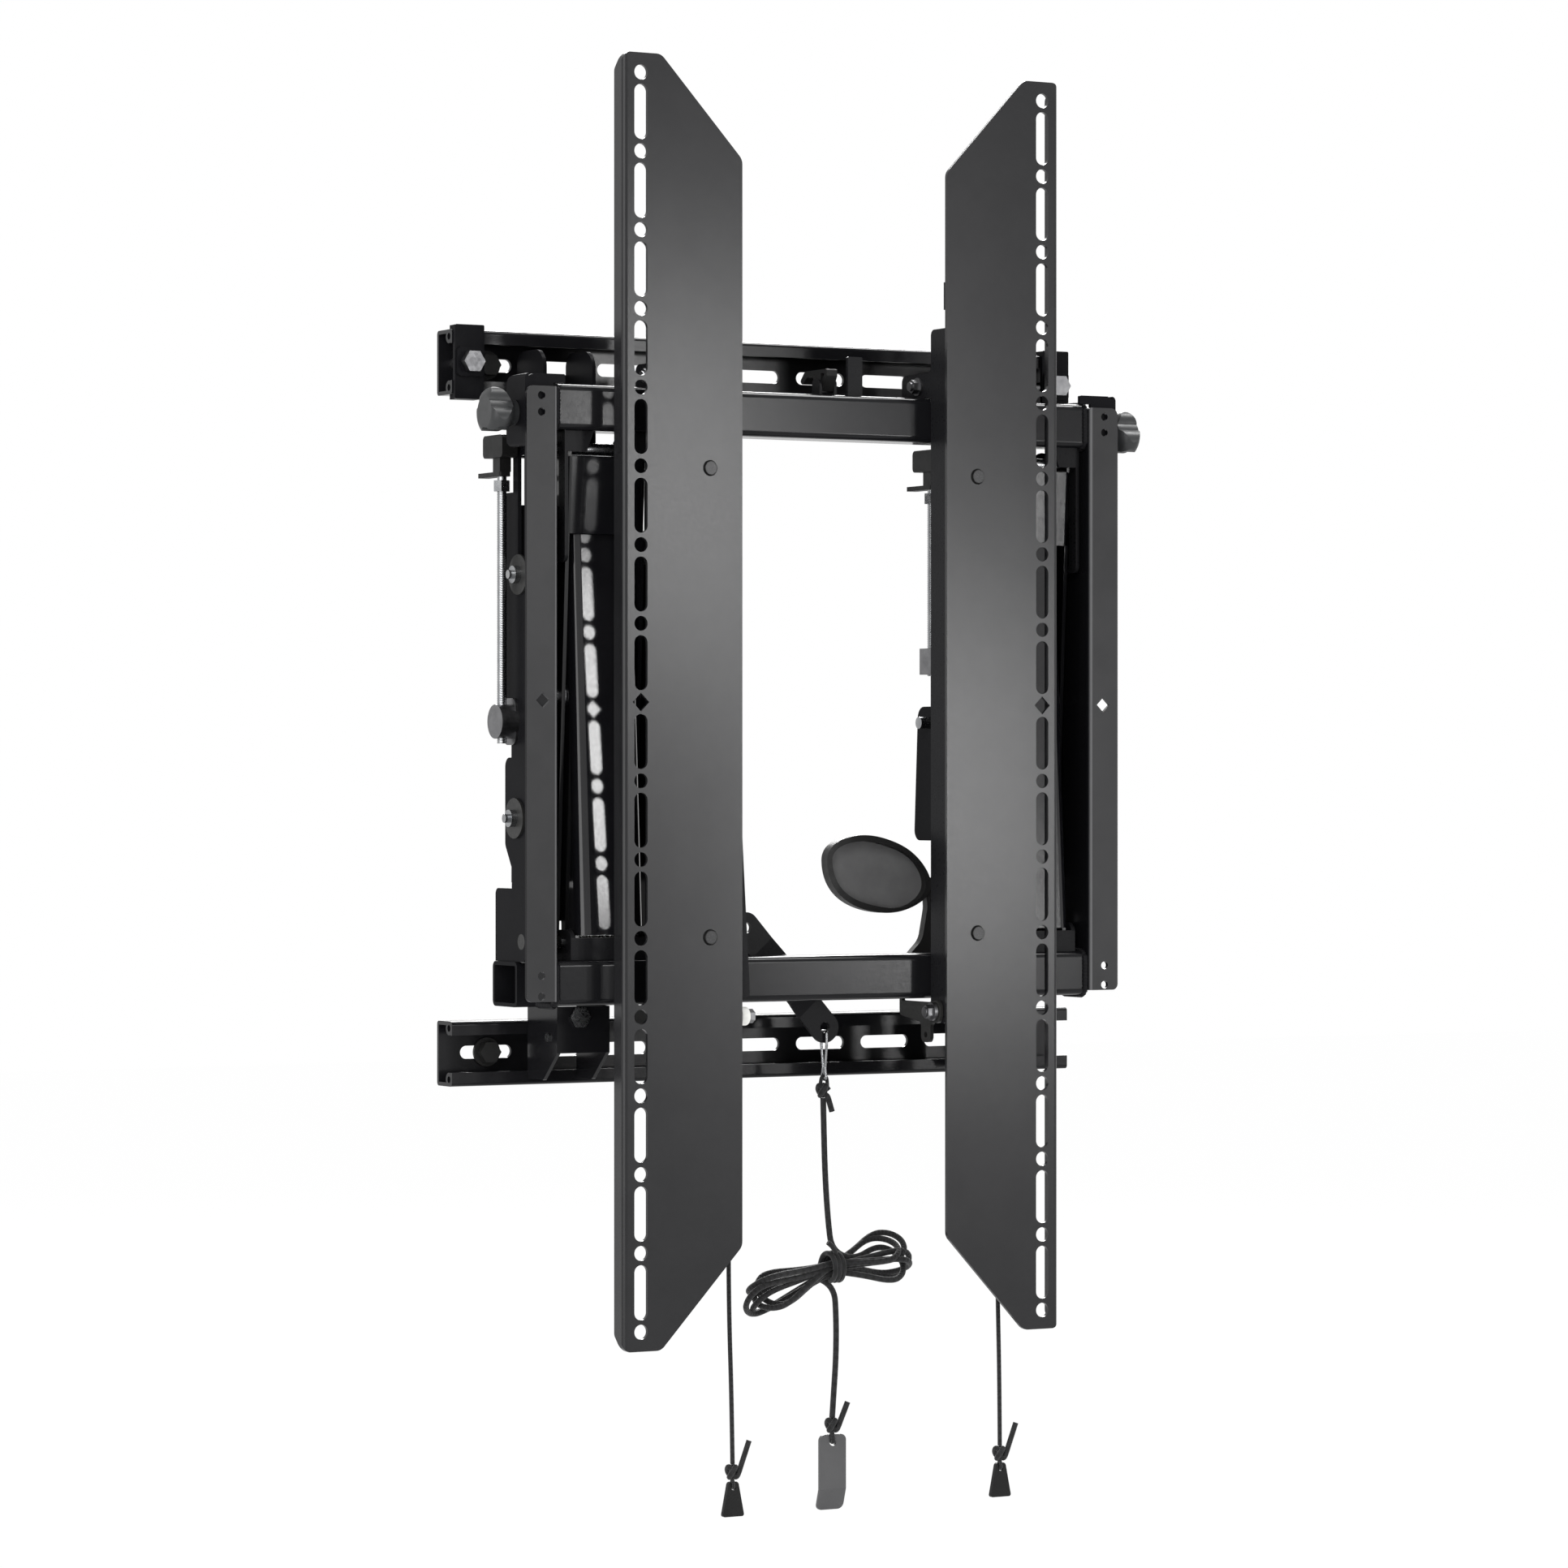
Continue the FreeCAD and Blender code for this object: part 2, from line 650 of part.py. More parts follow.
def make_pivot_shaft(cx, ax):
    """Lower shaft of the outer arm, across the side channel, with its spacer sleeves."""
    half = channel_half
    shaft = rod((1, 0, 0), (cx - half, -wall_pivot_depth, pivot_z), pin_radius, 2 * half)
    inside = channel_half - sheet
    reach = outer_arm_half + gap
    sleeves = []
    for x, end in ((cx - inside, ax - reach), (ax + reach, cx + inside)):
        length = end - x
        sleeve = rod((1, 0, 0), (x, -wall_pivot_depth, pivot_z), pin_radius + 3, length)
        bore = rod((1, 0, 0), (x - 1, -wall_pivot_depth, pivot_z), pin_radius, length + 2)
        sleeves.append(sleeve.cut(bore))
    return shaft, sleeves


track_offset = 30.35
track_wall = 2.5
track_front = front_pivot_depth + 13.0
track_back = front_pivot_depth - 8.0
track_bottom = open_pin_z - 8.5
gusset_inner = 12.0
gusset_height = 13.0
lug_offset = 26.0
lug_wall = 3.0
lug_front = front_pivot_depth + 14.0
lug_back = front_pivot_depth - 8.0
lug_top = pivot_z + 8.0
lug_web_top = pivot_z + 3.0


def make_tracks(ax):
    """Two slotted plates under the upper tube that guide the outer arm's top pin, with slanted gussets."""
    travel = top_pin_z - open_pin_z
    middle = (top_pin_z + open_pin_z) / 2
    top = upper_tube_bottom
    outline = [(-track_front, track_bottom, 4), (-track_back, track_bottom, 4), (-track_back, top),
               (-track_front, top)]
    outer = track_offset + track_wall
    plates = []
    for s, x in ((-1, ax - outer), (1, ax + track_offset)):
        slot = plate_x(stadium(-front_pivot_depth, middle, travel + 2 * slide_pin_radius + track_end,
                               2 * (slide_pin_radius + gap), False), x - 1, x + track_wall + 1)
        plate = plate_x(outline, x, x + track_wall).cut(slot)
        gusset = plate_y([(ax + s * outer, top), (ax + s * gusset_inner, top),
                          (ax + s * (gusset_inner + 5), top - gusset_height),
                          (ax + s * outer, top - gusset_height)], -track_front, -track_front + sheet)
        plates.append(fuse(plate, gusset))
    return group(*plates)


def make_lugs(ax):
    """Pivot clevis of the inner arm on the lower tube: two lugs and a front web, with its pin."""
    outline = [(-lug_front, lower_tube_top), (-lug_back, lower_tube_top), (-lug_back, lug_top, 6),
               (-lug_front, lug_top, 6)]
    lugs = []
    for x in (ax - lug_offset - lug_wall, ax + lug_offset):
        hole = rod((1, 0, 0), (x - 1, -front_pivot_depth, pivot_z), slide_pin_radius, lug_wall + 2)
        lugs.append(plate_x(outline, x, x + lug_wall).cut(hole))
    web = box(ax - lug_offset, ax + lug_offset, -lug_front, -lug_front + sheet, lower_tube_top, lug_web_top)
    half = lug_offset + lug_wall + 1.5
    pin = rod((1, 0, 0), (ax - half, -front_pivot_depth, pivot_z), slide_pin_radius, 2 * half)
    return fuse(web, *lugs), pin


front_pins = []
lug_pieces = []
shafts = []
tracks = []
for side, cx in sides:
    ax = cx + arm_shift
    shaft, sleeves = make_pivot_shaft(cx, ax)
    lugs, pin = make_lugs(ax)
    outer_pin = make_slide_pin(ax, track_offset + track_wall + 1, wall_pivot_depth, arm_lean)
    inner_pin = make_slide_pin(cx, channel_half - gap, front_pivot_depth, -arm_lean)
    parts[side + "_outer_arm"] = make_outer_arm(ax)
    parts[side + "_outer_pins"] = group(make_centre_pin(ax), outer_pin)
    parts[side + "_inner_arm"] = fuse(make_inner_arm(ax), inner_pin)
    shafts += [shaft] + sleeves
    tracks.append(make_tracks(ax))
    front_pins.append(pin)
    lug_pieces.append(lugs)
parts["pivot_shafts"] = group(*shafts)
parts["slide_tracks"] = group(*tracks)
parts["pivot_lugs"] = group(*lug_pieces)

post_hole_radius = 2.6
post_hole_zs = (post_top - 6.0, post_top - 16.5, post_bottom + 16.5, post_bottom + 3.5)
post_hole_x = 211.0
post_diamond_z = 4.0
post_diamond_half = 5.0


def make_post():
    """Angle-section post of the left side, with small holes at its ends and a diamond at its middle."""
    front = -post_front
    back = front + post_depth
    inner = -post_inner_x
    section = [(-post_outer_x, front), (inner, front, bend_radius), (inner, back), (inner - sheet, back),
               (inner - sheet, front + sheet, bend_radius - sheet), (-post_outer_x, front + sheet)]
    angle = plate_z(section, post_bottom, post_top)
    outline = plate_y([(-post_outer_x, post_bottom, 4), (inner, post_bottom), (inner, post_top, 2),
                       (-post_outer_x, post_top, 5)], front - 1, back + 1)
    holes = [rod((0, 1, 0), (-post_hole_x, front - 1, z), post_hole_radius, sheet + 2) for z in post_hole_zs]
    d = post_diamond_half
    x, z = -post_hole_x + 1, post_diamond_z
    diamond = plate_y([(x - d, z), (x, z - d), (x + d, z), (x, z + d)], front - 1, front + sheet + 1)
    return cut(angle.common(outline), diamond, *holes)


ear_top = upper_tube_top + 6.0
ear_bottom = upper_tube_z - 25.5
ear_back = tube_front - 25.0
ear_reach = 6.0
knob_depth = tube_front - 13.0
knob_z = upper_tube_z - 4.0
knob_stem = 4.0
knob_length = 21.0
knob_reach = 16.0
knob_lobe = 7.5


def make_knob_bracket():
    """Bent ear behind the left post that carries the clamp knob."""
    back = -post_front + sheet
    face = plate_y([(-post_outer_x, ear_bottom, 3), (-post_inner_x - sheet, ear_bottom),
                    (-post_inner_x - sheet, ear_top), (-post_outer_x, ear_top, 8)], back, back + sheet)
    cheek = plate_x([(back, ear_bottom), (-ear_back, ear_bottom, 6), (-ear_back, ear_top, 8),
                     (back, ear_top)], -post_outer_x, -post_outer_x + sheet)
    hole = rod((1, 0, 0), (-post_outer_x - 1, -knob_depth, knob_z), knob_stem + running_fit, sheet + 2)
    both = fuse(face, cheek)
    trim = plate_y(rounded_box(-post_outer_x, -post_inner_x - sheet, ear_bottom, ear_top, 2.9), back - 1, 0)
    lug_bottom = upper_tube_top + lip_clearance
    inner = -post_inner_x + ear_reach
    outer = -post_outer_x + 6
    lug = plate_y([(outer, lug_bottom), (inner, lug_bottom, 1), (inner, ear_top, 1), (outer, ear_top)],
                  back, back + sheet)
    return fuse(both.common(trim), lug).cut(hole)


def make_knob():
    """Three-lobed hand knob on the left side: a slim neck that flares to soft lobes, and a stem."""
    x0 = -post_outer_x - gap
    reach = knob_reach
    contour = [(0, 0), (0, 8), (-4, 8.5, 6), (-knob_length * 0.5, reach, 8), (-knob_length, reach - 0.5, 6),
               (-knob_length, 0)]
    place = V(x0, -knob_depth, knob_z)
    section = Part.Face(rounded_wire(contour, lambda p: place + V(p.x, 0, p.y)))
    turned = section.revolve(place, V(1, 0, 0), 360)
    lobes = []
    for k in range(3):
        angle = math.radians(90 + 120 * k)
        tip = V(0, math.cos(angle), math.sin(angle)) * (knob_reach - knob_lobe)
        centre = V(x0, -knob_depth, knob_z) + tip
        lobes.append(rod((-1, 0, 0), centre, knob_lobe, knob_length))
    hub = rod((-1, 0, 0), (x0, -knob_depth, knob_z), knob_reach - knob_lobe + 1.5, knob_length)
    body = fuse(hub, *lobes).common(turned)
    stem = rod((1, 0, 0), (x0, -knob_depth, knob_z), knob_stem, sheet + 8)
    return fuse(body, stem)


parts["left_post"] = make_post()
parts["right_post"] = mirrored(parts["left_post"])
knob_bracket = make_knob_bracket()
parts["knob_brackets"] = group(knob_bracket, mirrored(knob_bracket))
parts["left_clamp_knob"] = make_knob()
parts["right_clamp_knob"] = mirrored(parts["left_clamp_knob"])
parts["upper_front_tube"] = tube_x(-post_inner_x, post_inner_x, tube_front, tube_depth, upper_tube_z,
                                   tube_height, tube_corner)
parts["lower_front_tube"] = tube_x(-post_inner_x, post_inner_x, tube_front, tube_depth, lower_tube_z,
                                   tube_height, tube_corner)


def make_plate():
    """Left display plate: tapered ends, outer flange and a column of holes, slots and one diamond."""
    top = plate_middle_z + plate_half_height
    bottom = plate_middle_z - plate_half_height
    chamfer_x = -plate_inner_x - plate_chamfer_x
    front = -mount_depth
    back = front + plate_flange
    edge = -plate_outer_x
    section = [(edge, back), (edge, front, bend_radius), (-plate_inner_x, front),
               (-plate_inner_x, -plate_back),
               (edge + sheet, -plate_back, bend_radius - sheet), (edge + sheet, back)]
    angle = plate_z(section, bottom, top)
    outline = plate_y([(edge, bottom, 5), (chamfer_x, bottom, 8),
                       (-plate_inner_x, bottom + plate_chamfer_z, 8),
                       (-plate_inner_x, top - plate_chamfer_z, 8),
                       (chamfer_x, top, 8), (edge, top, 5)], front - 1, back + 1)
    ends = plate_x([(front - 1, bottom), (front + 3, bottom), (back, bottom + 10, 4), (back, top - 10, 4),
                    (front + 3, top), (front - 1, top)], edge - 1, 0)
    body = angle.common(outline).common(ends)
    cutters = []
    x = -hole_column_x
    for k in range(-hole_rows, hole_rows + 1):
        z = plate_middle_z + k * hole_pitch
        if k:
            cutters.append(rod((0, 1, 0), (x, -mount_depth - 1, z), hole_radius, sheet + 2))
        if k < hole_rows:
            slot = stadium(x, z + hole_pitch / 2, slot_length, 2 * hole_radius, False)
            cutters.append(plate_y(slot, -mount_depth - 1, -plate_back + 1))
    d = diamond_side / math.sqrt(2)
    z = plate_middle_z
    diamond = [(x - d, z), (x, z - d), (x + d, z), (x, z + d)]
    cutters.append(plate_y(diamond, front - 1, -plate_back + 1))
    cutters += [rod((0, 1, 0), (-hook_rail_x, front - 1, z + s * rivet_z), rivet_shank, sheet + 2)
                for s in (-1, 1)]
    return cut(body, *cutters)


rivet_shank = 3.0
rivet_head = 1.6
hook_web_back = plate_back - sheet
hook_flange_back = tube_front + 1.5
hook_tongue = tube_back - 6.0
hook_tongue_top = upper_tube_top + 17.0
hook_lip_bottom = upper_tube_z + 3.5
tab_bottom = hook_rail_top + 12.0
tab_top = hook_rail_top + 30.0
latch_depth = mount_depth - 12.0
latch_z = -198.5
latch_pin_radius = 3.0


def make_hook_rail(cx):
    """Riveted channel behind a display plate, with hooks over the upper tube and ears for its pins."""
    half = hook_rail_width / 2
    hook_bottom_z = upper_tube_top + lip_clearance
    profile = [(-plate_back, hook_rail_bottom, 3), (-hook_flange_back, hook_rail_bottom, 6),
               (-hook_flange_back, hook_bottom_z), (-tube_back + slide_gap, hook_bottom_z),
               (-tube_back + slide_gap, hook_lip_bottom, 1.5), (-hook_tongue, hook_lip_bottom, 1.5),
               (-hook_tongue, hook_tongue_top, 5), (-hook_flange_back, hook_tongue_top, 4),
               (-hook_flange_back, hook_rail_top, 4), (-plate_back, hook_rail_top)]
    flanges = [plate_x(profile, x, x + sheet) for x in (cx - half, cx + half - sheet)]
    web = box(cx - half, cx + half, -plate_back, -hook_web_back, hook_rail_bottom + 8, hook_rail_top)
    tab = box(cx - half, cx + half, -plate_back, -hook_web_back, hook_rail_top, tab_top)
    notch = box(cx - half, cx + half - 12, -plate_back, -hook_web_back, hook_rail_top, tab_bottom)
    body = fuse(*flanges, web, tab.cut(notch))
    pins = [rod((1, 0, 0), (cx - half - 1, -latch_depth, latch_z), latch_pin_radius, hook_rail_width + 2)]
    pins += [rod((0, 1, 0), (cx, -plate_back - 1, plate_middle_z + s * rivet_z), rivet_shank, sheet + 2)
             for s in (-1, 1)]
    start = (cx - half - 1, -adjuster_depth, adjuster_z)
    pins.append(rod((1, 0, 0), start, adjuster_radius, hook_rail_width + 2))
    return cut(body, *pins)


adjuster_depth = tube_front - 15.0
adjuster_z = upper_tube_top + 8.5
adjuster_radius = 3.0


def make_rivets(cx):
    """Two flat-headed rivets that hold a hook rail to its plate."""
    rivets = []
    for s in (-1, 1):
        z = plate_middle_z + s * rivet_z
        seat = V(cx, -mount_depth, z)
        head = Part.makeCone(rivet_radius, rivet_radius - 0.8, rivet_head, seat, V(0, -1, 0))
        shank = rod((0, 1, 0), (cx, -mount_depth, z), rivet_shank, 2 * sheet)
        tail = rod((0, 1, 0), (cx, -hook_web_back, z), rivet_radius - 1, rivet_head)
        rivets.append(fuse(head, shank, tail))
    return group(*rivets)


def make_adjuster(cx):
    """Cross screw of the upper hook with a washer and nut at each end."""
    half = hook_rail_width / 2
    start = (cx - half - 7, -adjuster_depth, adjuster_z)
    screw = rod((1, 0, 0), start, adjuster_radius, hook_rail_width + 10)
    washer = rod((-1, 0, 0), (cx - half, -adjuster_depth, adjuster_z), 6.0, 1.2)
    nut = hexagon((-1, 0, 0), (cx - half - 1.2, -adjuster_depth, adjuster_z), 8.0, 4.0)
    head = rod((1, 0, 0), (cx + half, -adjuster_depth, adjuster_z), 5.0, 3.0)
    return fuse(screw, washer, nut, head)


latch_tip_back = tube_back - 4.0
latch_tip_front = tube_back - 1.0
latch_tip_top = -185.0
latch_bottom = -206.0
latch_under = -192.5
latch_wall = 2.5
latch_pin_end = 11.0
roller_radius = 6.0
roller_length = 7.0
cord_eye_depth = latch_depth - 11.0
cord_eye_z = -214.0


def make_latch(cx):
    """Folded latch: two cheeks on the pin that hook under and behind the lower tube, joined by a web."""
    inside = hook_rail_width / 2 + gap
    profile = [(-latch_depth - 7, latch_bottom, 5), (-cord_eye_depth - 6, latch_bottom, 3),
               (-cord_eye_depth - 6, cord_eye_z - 5, 4), (-cord_eye_depth + 6, cord_eye_z - 5, 4),
               (-cord_eye_depth + 6, latch_bottom, 3), (-latch_tip_back, latch_bottom + 4, 3),
               (-latch_tip_back, latch_tip_top, 1.5), (-latch_tip_front, latch_tip_top, 1.5),
               (-latch_tip_front, latch_under, 1.0), (-latch_depth + 8, latch_under, 4),
               (-latch_depth - 7, latch_z + 8, 5)]
    cheeks = [plate_x(profile, x, x + latch_wall) for x in (cx - inside - latch_wall, cx + inside)]
    low = latch_bottom + 3.8
    web = box(cx - inside, cx + inside, -latch_tip_back - 12, -latch_tip_back - 1, low, low + latch_wall)
    eyes = [rod((1, 0, 0), (cx - 40, -latch_depth, latch_z), latch_pin_radius + running_fit, 80),
            rod((1, 0, 0), (cx - 40, -cord_eye_depth, cord_eye_z), cord_eye_radius, 80)]
    return cut(fuse(*cheeks, web), *eyes)


cord_eye_radius = 2.0


def make_latch_pin(cx):
    """Pin through the hook rail's ears, with a nut and washers on its left end."""
    half = hook_rail_width / 2 + gap + latch_wall
    start = (cx - half - 8, -latch_depth, latch_z)
    pin = rod((1, 0, 0), start, latch_pin_radius, 2 * half + 8 + latch_pin_end)
    washers = rod((-1, 0, 0), (cx - half - gap, -latch_depth, latch_z), 6.0, 2.4)
    nut = hexagon((-1, 0, 0), (cx - half - gap - 2.4, -latch_depth, latch_z), 8.0, 4.0)
    end = cx + half + gap + roller_length
    cap = hexagon((1, 0, 0), (end, -latch_depth, latch_z), 8.0, latch_pin_end - roller_length)
    return fuse(pin, washers, nut, cap)


def make_roller(cx):
    """Pale nylon roller on the right end of the latch pin."""
    x = cx + hook_rail_width / 2 + gap + latch_wall + gap
    body = rod((1, 0, 0), (x, -latch_depth, latch_z), roller_radius, roller_length)
    body = body.makeFillet(1.5, [e for e in body.Edges if len(e.Vertexes) == 1])
    return body.cut(rod((1, 0, 0), (x - 1, -latch_depth, latch_z), latch_pin_radius, roller_length + 2))


guard_top = -58.0
guard_bottom = -186.0
guard_reach = 7.0


def make_guard(cx):
    """Slim tapered strip behind the plate's right edge that shields the latch cord."""
    x = cx + hook_rail_width / 2 - sheet
    tip = cx + hook_rail_width / 2 + 0.5
    outline = [(x, guard_bottom), (tip + guard_reach, guard_bottom, 3), (tip, guard_top, 2), (x, guard_top)]
    return plate_y(outline, -plate_back, -plate_back + sheet)


brackets = (("left", -hook_rail_x), ("right", hook_rail_x))
parts["left_display_plate"] = make_plate()
parts["right_display_plate"] = mirrored(parts["left_display_plate"])
for side, cx in brackets:
    parts[side + "_hook_rail"] = fuse(make_hook_rail(cx), make_guard(cx))
    parts[side + "_rivets"] = make_rivets(cx)
    parts[side + "_bracket_pins"] = group(make_adjuster(cx), make_latch_pin(cx))
    parts[side + "_latch"] = make_latch(cx)
    parts[side + "_latch_roller"] = make_roller(cx)

# Release lever behind the lower tube, with the clip that its cord hangs from
lever_top = (-42.0, -143.0)
lever_bottom = (17.4, -209.4)
lever_pivot_share = 0.5
lever_half = 10.0
lever_wall = 3.0
lever_front = tube_back - 1.5
lever_jog = 3.0
lever_eye = 3.6
lever_pin_radius = 4.0


def lever_point(share):
    x = lever_top[0] + (lever_bottom[0] - lever_top[0]) * share
    z = lever_top[1] + (lever_bottom[1] - lever_top[1]) * share
    return x, z


lever_pivot = lever_point(lever_pivot_share)


def make_release_lever():
    """Flat bar with joggled ends: drawn lying along X, then turned to its slant."""
    length = math.dist(lever_top, lever_bottom)
    half = length / 2
    front = -lever_front
    jog0 = length * 0.16
    jog1 = length * 0.30
    back = front + lever_jog
    middle = [(-half - lever_half, back), (-jog1, back), (-jog0, front), (jog0, front), (jog1, back),
              (half + lever_half, back)]
    outer = [(s, y + lever_wall) for s, y in reversed(middle)]
    ribbon = plate_z(middle + outer, -lever_half, lever_half)
    side = plate_y([(-half - lever_half, -lever_half, 9.5), (half + lever_half, -lever_half, 9.5),
                    (half + lever_half, lever_half, 9.5), (jog1, lever_half, 8), (0, lever_half * 0.86, 20),
                    (-jog1, lever_half, 8), (-half - lever_half, lever_half, 9.5)], front - 1, front + 12)
    bar = ribbon.common(side)
    sizes = ((-half, lever_eye), (half, lever_eye), (0, lever_pin_radius + running_fit))
    bar = cut(bar, *[rod((0, 1, 0), (s, front - 1, 0), radius, 12) for s, radius in sizes])
    slant = math.degrees(math.atan2(lever_top[1] - lever_bottom[1], lever_bottom[0] - lever_top[0]))
    turn = FreeCAD.Rotation(V(0, 1, 0), slant)
    bar.Placement = FreeCAD.Placement(V(lever_pivot[0], 0, lever_pivot[1]), turn)
    return bar


def make_lever_pin():
    """Shouldered pin on the back of the lower tube."""
    x, z = lever_pivot
    shaft = rod((0, 1, 0), (x, -tube_back, z), lever_pin_radius, tube_back - lever_front + lever_wall + gap)
    shoulder = rod((0, 1, 0), (x, -tube_back, z), lever_pin_radius + 2.5, tube_back - lever_front - gap)
    head = rod((0, 1, 0), (x, -lever_front + lever_wall + gap, z), lever_pin_radius + 2.5, 1.6)
    return fuse(shaft, shoulder, head)


clip_wire = 0.9
clip_half = 3.5
clip_top = lever_bottom[1] - lever_eye + clip_wire + 0.3
clip_low = -243.8


def make_clip():
    """Wire snap clip: a slim closed loop that passes through the lever's lower eye."""
    x = lever_bottom[0]
    y = -lever_front + lever_jog + lever_wall / 2
    h = clip_half
    points = [(y - h, clip_top, 2), (y + h, clip_top, 2), (y + h, clip_top - 9, 4),
              (y + 1.4, clip_low + 8, 4), (y + 3, clip_low, 2), (y - 3, clip_low, 2),
              (y - 1.4, clip_low + 8, 4), (y - h, clip_top - 9, 4)]
    wire = rounded_wire(points, lambda p: V(x, p.x, p.y))
    start = wire.Edges[0].Vertexes[0].Point
    tangent = wire.Edges[0].tangentAt(wire.Edges[0].FirstParameter)
    section = Part.Wire(Part.makeCircle(clip_wire, start, tangent))
    return wire.makePipeShell([section], True, True)


parts["release_lever"] = make_release_lever()
parts["front_frame_pins"] = group(*front_pins, make_lever_pin())
parts["cord_clip"] = make_clip()

# Spring hook on the upper tube
hook_x = (4.0, 12.0)
hook_pivot = (tube_front - 19.0, upper_tube_top + 7.0)
hook_pin_radius = 2.0
thumb_x = (20.0, 31.0)
thumb_height = 26.0


def make_spring_hook():
    """Moulded hook over the gap behind the upper tube, on a cross pin."""
    top = upper_tube_top
    y = -tube_front
    outline = [(y + 15, top + 3, 1), (y + 22, top + 3, 1), (y + 28, top + 14, 3), (y + 35, top + 13.5, 4),
               (y + 41, top + 9, 1), (y + 44.5, top + 11, 1.5), (y + 38, top + 17.5, 5),
               (y + 9, top + 17.5, 1.5), (y + 9, top + 13, 1)]
    body = plate_x(outline, *hook_x)
    corners = [(y + 12, top + 15, 0.6), (y + 16, top + 7, 0.6), (y + 17, top + 15, 0.6)]
    window = plate_x(corners, hook_x[0] - 1, hook_x[1] + 1)
    bore = rod((1, 0, 0), (hook_x[0] - 1, -hook_pivot[0], hook_pivot[1]), hook_pin_radius + running_fit, 10)
    return cut(body, window, bore)


def make_hook_bracket():
    """Two ears on the upper tube with the cross pin of the spring hook, and the upright thumb tab."""
    top = upper_tube_top
    d, z = hook_pivot
    outline = [(-d - 5, top), (-d + 5, top), (-d + 5, z + 4, 3), (-d - 5, z + 4, 3)]
    x0, x1 = hook_x
    ears = [plate_x(outline, x, x + 2) for x in (x0 - gap - 2, x1 + gap)]
    pin = rod((1, 0, 0), (x0 - gap - 2, -d, z), hook_pin_radius, x1 - x0 + 2 * gap + 4)
    return fuse(*ears, pin)


def make_thumb_tab():
    """Upright tab with a foot on the upper tube."""
    top = upper_tube_top
    x0, x1 = thumb_x
    front = -tube_front + 9
    high = top + thumb_height
    upright = plate_y([(x0, top), (x1, top), (x1, high, 1), (x0, high, 1)], front, front + sheet)
    foot = box(x0, x1, front, front + 14, top, top + sheet)
    return fuse(upright, foot)


parts["spring_hook"] = make_spring_hook()
parts["hook_bracket"] = group(make_hook_bracket(), make_thumb_tab())

# Cable holder beside the right side channel
holder_depth = wall_pivot_depth - 14.0
holder_thick = 8.0
holder_floor = 2.0
holder_rim = 4.0
holder_middle = (66.0, -109.5)
holder_axes = (41.0, 24.5)
holder_tilt = -14.0


def make_cable_holder():
    """Moulded cable dish: a tilted teardrop with a raised rim, and a curved strap down to the lower tube."""
    x, z = holder_middle
    a, b = holder_axes
    front = -holder_depth - holder_thick / 2
    back = front + holder_thick

    def teardrop(inset):
        ring = [(-(a - inset), 0), (-(a - inset) * 0.62, -(b - inset) * 0.83), (0.1 * a, -(b - inset)),
                (0.72 * a, -(b - inset) * 0.62), (a - inset, 0), (0.62 * a, (b - inset) * 0.76),
                (0.05 * a, (b - inset)), (-(a - inset) * 0.62, (b - inset) * 0.83)]
        curve = Part.BSplineCurve()
        curve.interpolate([V(px, front, pz) for px, pz in ring], PeriodicFlag=True)
        return Part.Face(Part.Wire(curve.toShape()))

    dish = teardrop(0).extrude(V(0, holder_thick, 0))
    hollow = teardrop(holder_rim).extrude(V(0, holder_thick - holder_floor, 0))
    dish = dish.cut(hollow)
    dish.Placement = FreeCAD.Placement(V(x, 0, z), FreeCAD.Rotation(V(0, 1, 0), -holder_tilt))
    strap_top = z - 8
    strap_bottom = back_lower_z + back_tube_height / 2
    outer = lock_x
    strap = plate_y([(outer - 14, strap_top + 6, 4), (outer, strap_top + 6), (outer, strap_bottom),
                     (outer - 26, strap_bottom), (outer - 16, strap_bottom + 10, 14),
                     (outer - 12, strap_top - 14, 18)], front + 1, back - 1)
    return fuse(dish, strap)


parts["cable_holder"] = make_cable_holder()

# Cords, with the pieces that hang on them
pull_cord_radius = 1.5
main_cord_radius = 2.0


def route_edges(points):
    """Straight runs joined by tangent arcs that are as large as the runs allow; prints the radii."""
    nodes = [V(*p) for p in points]
    edges = []
    last = nodes[0]
    radii = []
    for before, here, after in zip(nodes, nodes[1:], nodes[2:]):
        back = before - here
        ahead = after - here
        reach = 0.45 * min(back.Length, ahead.Length)
        back.normalize()
        ahead.normalize()
        half = back.getAngle(ahead) / 2
        radius = reach * math.tan(half)
        radii.append(round(radius))
        start, end = here + back * reach, here + ahead * reach
        bisector = (back + ahead).normalize()
        middle = here + bisector * (radius / math.sin(half) - radius)
        edges.append(Part.LineSegment(last, start).toShape())
        edges.append(Part.Arc(start, middle, end).toShape())
        last = end
    edges.append(Part.LineSegment(last, nodes[-1]).toShape())
    print("bend radii", radii)
    return edges


def make_cord(points, radius):
    """Round cord along a route."""
    path = Part.Wire(route_edges(points))
    first = path.Edges[0]
    circle = Part.makeCircle(radius, V(*points[0]), first.tangentAt(first.FirstParameter))
    cord = path.makePipeShell([Part.Wire(circle)], True, True)
    print("cord length", round(path.Length, 1))
    return cord


